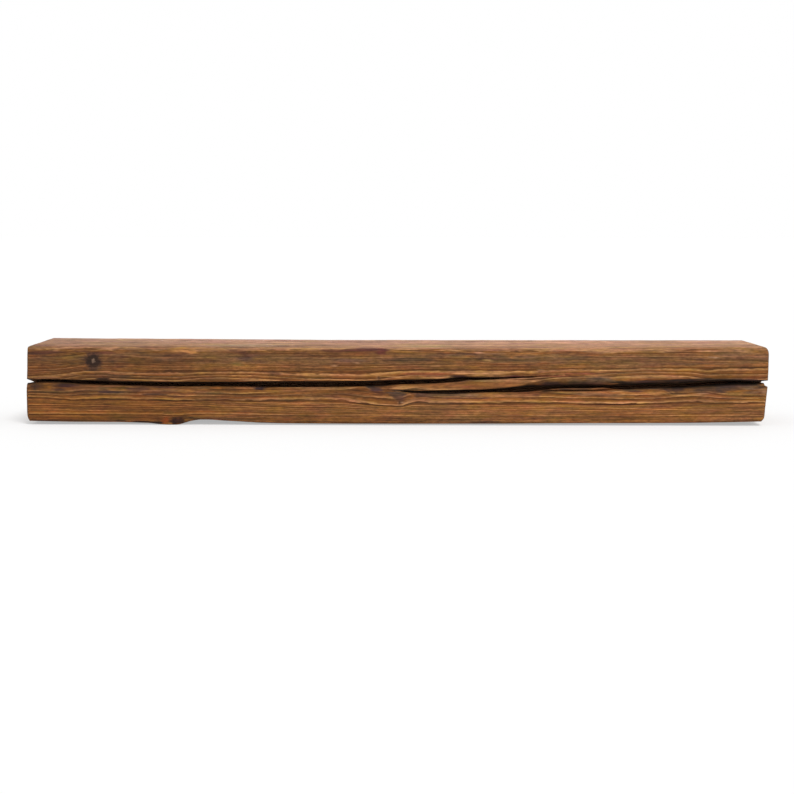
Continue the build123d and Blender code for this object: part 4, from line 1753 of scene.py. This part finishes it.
        # The paler top: partly bleached wood, partly painted light on the face turned to the light, with
        # painted sheen towards the back edge
        back = np.clip((y - FRONT_Y) / DEPTH, 0, 1)[:, None]
        colour += np.array(linear(self.top_ahead_bleach_and_light)) * (1 - back) + np.array(linear(self.top_behind_bleach_and_sheen)) * back
        cover += self.top_bleach_and_light * on_top
        for mark in MARKS:
            is_top = mark.face is Face.TOP
            across = (y if is_top else z) - mark.across
            away = np.sqrt(((x - mark.x) / mark.half_length) ** 2 + (across / mark.half_width) ** 2)
            there = on_top if is_top else 1 - ease_step(*self.mark_reach, y - FRONT_Y)
            share = mark.strength * (1 - ease_step(*self.mark_edge, away + ragged)) * there
            total = share + cover * (1 - share)
            blend = np.where(total > 1e-6, share / np.maximum(total, 1e-6), 0.0)
            colour += (np.array(linear(mark.colour)) - colour) * blend[:, None]
            cover = total
        return np.concatenate([colour, cover[:, None]], axis=1)

    @staticmethod
    def _finish_shading(beam: bpy.types.Object) -> None:
        """Faces outward, and smooth but for sharp arrises.

        Args:
            beam: The beam's object.
        """
        bpy.ops.object.select_all(action="DESELECT")
        beam.select_set(True)
        bpy.context.view_layer.objects.active = beam
        bpy.ops.object.mode_set(mode="EDIT")
        bpy.ops.mesh.select_all(action="SELECT")
        bpy.ops.mesh.normals_make_consistent(inside=False)
        bpy.ops.object.mode_set(mode="OBJECT")
        bpy.ops.object.shade_smooth_by_angle(angle=math.radians(50))


def round_corner(
    first: np.ndarray,
    second: np.ndarray,
    first_reach: np.ndarray,
    second_reach: np.ndarray,
    where: np.ndarray,
) -> tuple[np.ndarray, np.ndarray]:
    """Rounds the corner between two faces.

    Args:
        first: Distance of each point behind the first face.
        second: Distance of each point behind the second face.
        first_reach: How far the rounding reaches in from the first face.
        second_reach: How far the rounding reaches in from the second face.
        where: Which points may move.

    Returns:
        The two distances after rounding.
    """
    a, b = 1 - first / first_reach, 1 - second / second_reach
    near = where & (a > 0) & (b > 0)
    shrink = np.where(near, np.maximum(a, b) / np.maximum(np.hypot(a, b), 1e-9), 1.0)
    return (
        np.where(near, first_reach * (1 - a * shrink), first),
        np.where(near, second_reach * (1 - b * shrink), second),
    )


@dataclass
class Studio:
    """A pale floor, soft light from above and the camera."""

    camera_at: tuple[float, float, float] = (4.8, -2123.7, 267.65)
    pitch: float = 6.381
    yaw: float = -0.133
    roll: float = 0.094
    lens: float = 69.36
    sky_light: float = 0.62
    sun_strength: float = 1.75
    sun_elevation: float = 58.0
    sun_azimuth: float = 28.0
    sun_softness: float = 22.0
    floor_half: float = 30.0
    floor_white: float = 0.42
    floor_colour: tuple[float, float, float] = (0.93, 0.93, 0.93)

    def build(self) -> None:
        """Makes the floor, the light and the camera."""
        self._floor()
        self._world()
        self._sun()
        self._camera()

    def _floor(self) -> None:
        """A wide pale floor that the beam rests on."""
        bpy.ops.object.select_all(action="DESELECT")
        bpy.ops.mesh.primitive_plane_add(size=2 * self.floor_half, location=(0.0, 0.0, 0.0))
        floor = bpy.context.object
        floor.name = "studio_floor"
        floor.data.materials.append(self._floor_material())

    def _floor_material(self) -> bpy.types.Material:
        """Matt and pale, and partly plain white to the camera, so that the shadow on it stays light.

        Returns:
            The floor's material.
        """
        made = bpy.data.materials.new("studio_floor")
        made.use_nodes = True
        desk = NodeDesk(made.node_tree)
        matt = desk.node("ShaderNodeBsdfDiffuse")
        matt.inputs["Color"].default_value = (*self.floor_colour, 1.0)
        white = desk.node("ShaderNodeEmission")
        white.inputs["Strength"].default_value = 1.0
        camera_ray = desk.node("ShaderNodeLightPath").outputs["Is Camera Ray"]
        seen = desk.math("MULTIPLY", camera_ray, self.floor_white)
        both = desk.node("ShaderNodeMixShader")
        desk.link(seen, both.inputs[0])
        desk.link(matt.outputs[0], both.inputs[1])
        desk.link(white.outputs[0], both.inputs[2])
        desk.link(both.outputs[0], desk.node("ShaderNodeOutputMaterial").inputs["Surface"])
        return made

    def _world(self) -> None:
        """White behind the floor, and an even light from all of the sky."""
        world = bpy.data.worlds.new("studio")
        bpy.context.scene.world = world
        world.use_nodes = True
        desk = NodeDesk(world.node_tree)
        path = desk.node("ShaderNodeLightPath")
        seen = desk.math("MAXIMUM", path.outputs["Is Camera Ray"], path.outputs["Is Glossy Ray"])
        seen = desk.math("MAXIMUM", seen, path.outputs["Is Transmission Ray"])
        sky = desk.node("ShaderNodeBackground")
        sky.inputs["Color"].default_value = (1.0, 1.0, 1.0, 1.0)
        strength = desk.math("MULTIPLY_ADD", seen, 1.0 - self.sky_light, self.sky_light)
        desk.link(strength, sky.inputs["Strength"])
        desk.link(sky.outputs[0], desk.node("ShaderNodeOutputWorld").inputs["Surface"])

    def _sun(self) -> None:
        """One soft light, high up and a little to the right in front of the beam."""
        data = bpy.data.lights.new("studio_sun", "SUN")
        data.energy = self.sun_strength
        data.angle = math.radians(self.sun_softness)
        sun = bpy.data.objects.new("studio_sun", data)
        bpy.context.scene.collection.objects.link(sun)
        up, turn = math.radians(self.sun_elevation), math.radians(self.sun_azimuth)
        towards = Vector((math.cos(up) * math.sin(turn), -math.cos(up) * math.cos(turn), math.sin(up)))
        sun.rotation_euler = towards.to_track_quat("Z", "Y").to_euler()
        sun.location = towards * 3.0

    def _camera(self) -> None:
        """The view from straight in front, a little above the beam."""
        data = bpy.data.cameras.new("camera")
        data.lens = self.lens
        data.sensor_width = 36.0
        data.clip_end = 200.0
        camera = bpy.data.objects.new("camera", data)
        bpy.context.scene.collection.objects.link(camera)
        turn = (
            Matrix.Rotation(math.radians(-self.yaw), 4, "Z")
            @ Matrix.Rotation(math.radians(90 - self.pitch), 4, "X")
            @ Matrix.Rotation(math.radians(self.roll), 4, "Z")
        )
        camera.matrix_world = Matrix.Translation(Vector(self.camera_at) * MM) @ turn
        bpy.context.scene.camera = camera
        bpy.context.scene.view_settings.view_transform = "Standard"


def main() -> None:
    """Builds the beam, dresses it, and sets it in the studio."""
    logging.basicConfig(level=logging.INFO, format="%(name)s: %(message)s")
    rings = GrowthRings()
    beam = ReclaimedBeam(
        rings=rings,
        left_check=DryingCheck(tuple(CheckStation(*row) for row in LEFT_MOUTH), seed=61),
        right_check=DryingCheck(
            tuple(CheckStation(*row) for row in RIGHT_MOUTH), seed=71, splinter=SPLINTER
        ),
    ).build()
    beam.data.materials.append(WeatheredWood(rings).material())
    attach(beam, "root")
    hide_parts("shelf_beam")
    triangles = sum(len(face.vertices) - 2 for face in beam.data.polygons)
    LOG.info("%s: %d vertices, %d triangles", beam.name, len(beam.data.vertices), triangles)
    Studio().build()


if __name__ == "__main__":
    main()
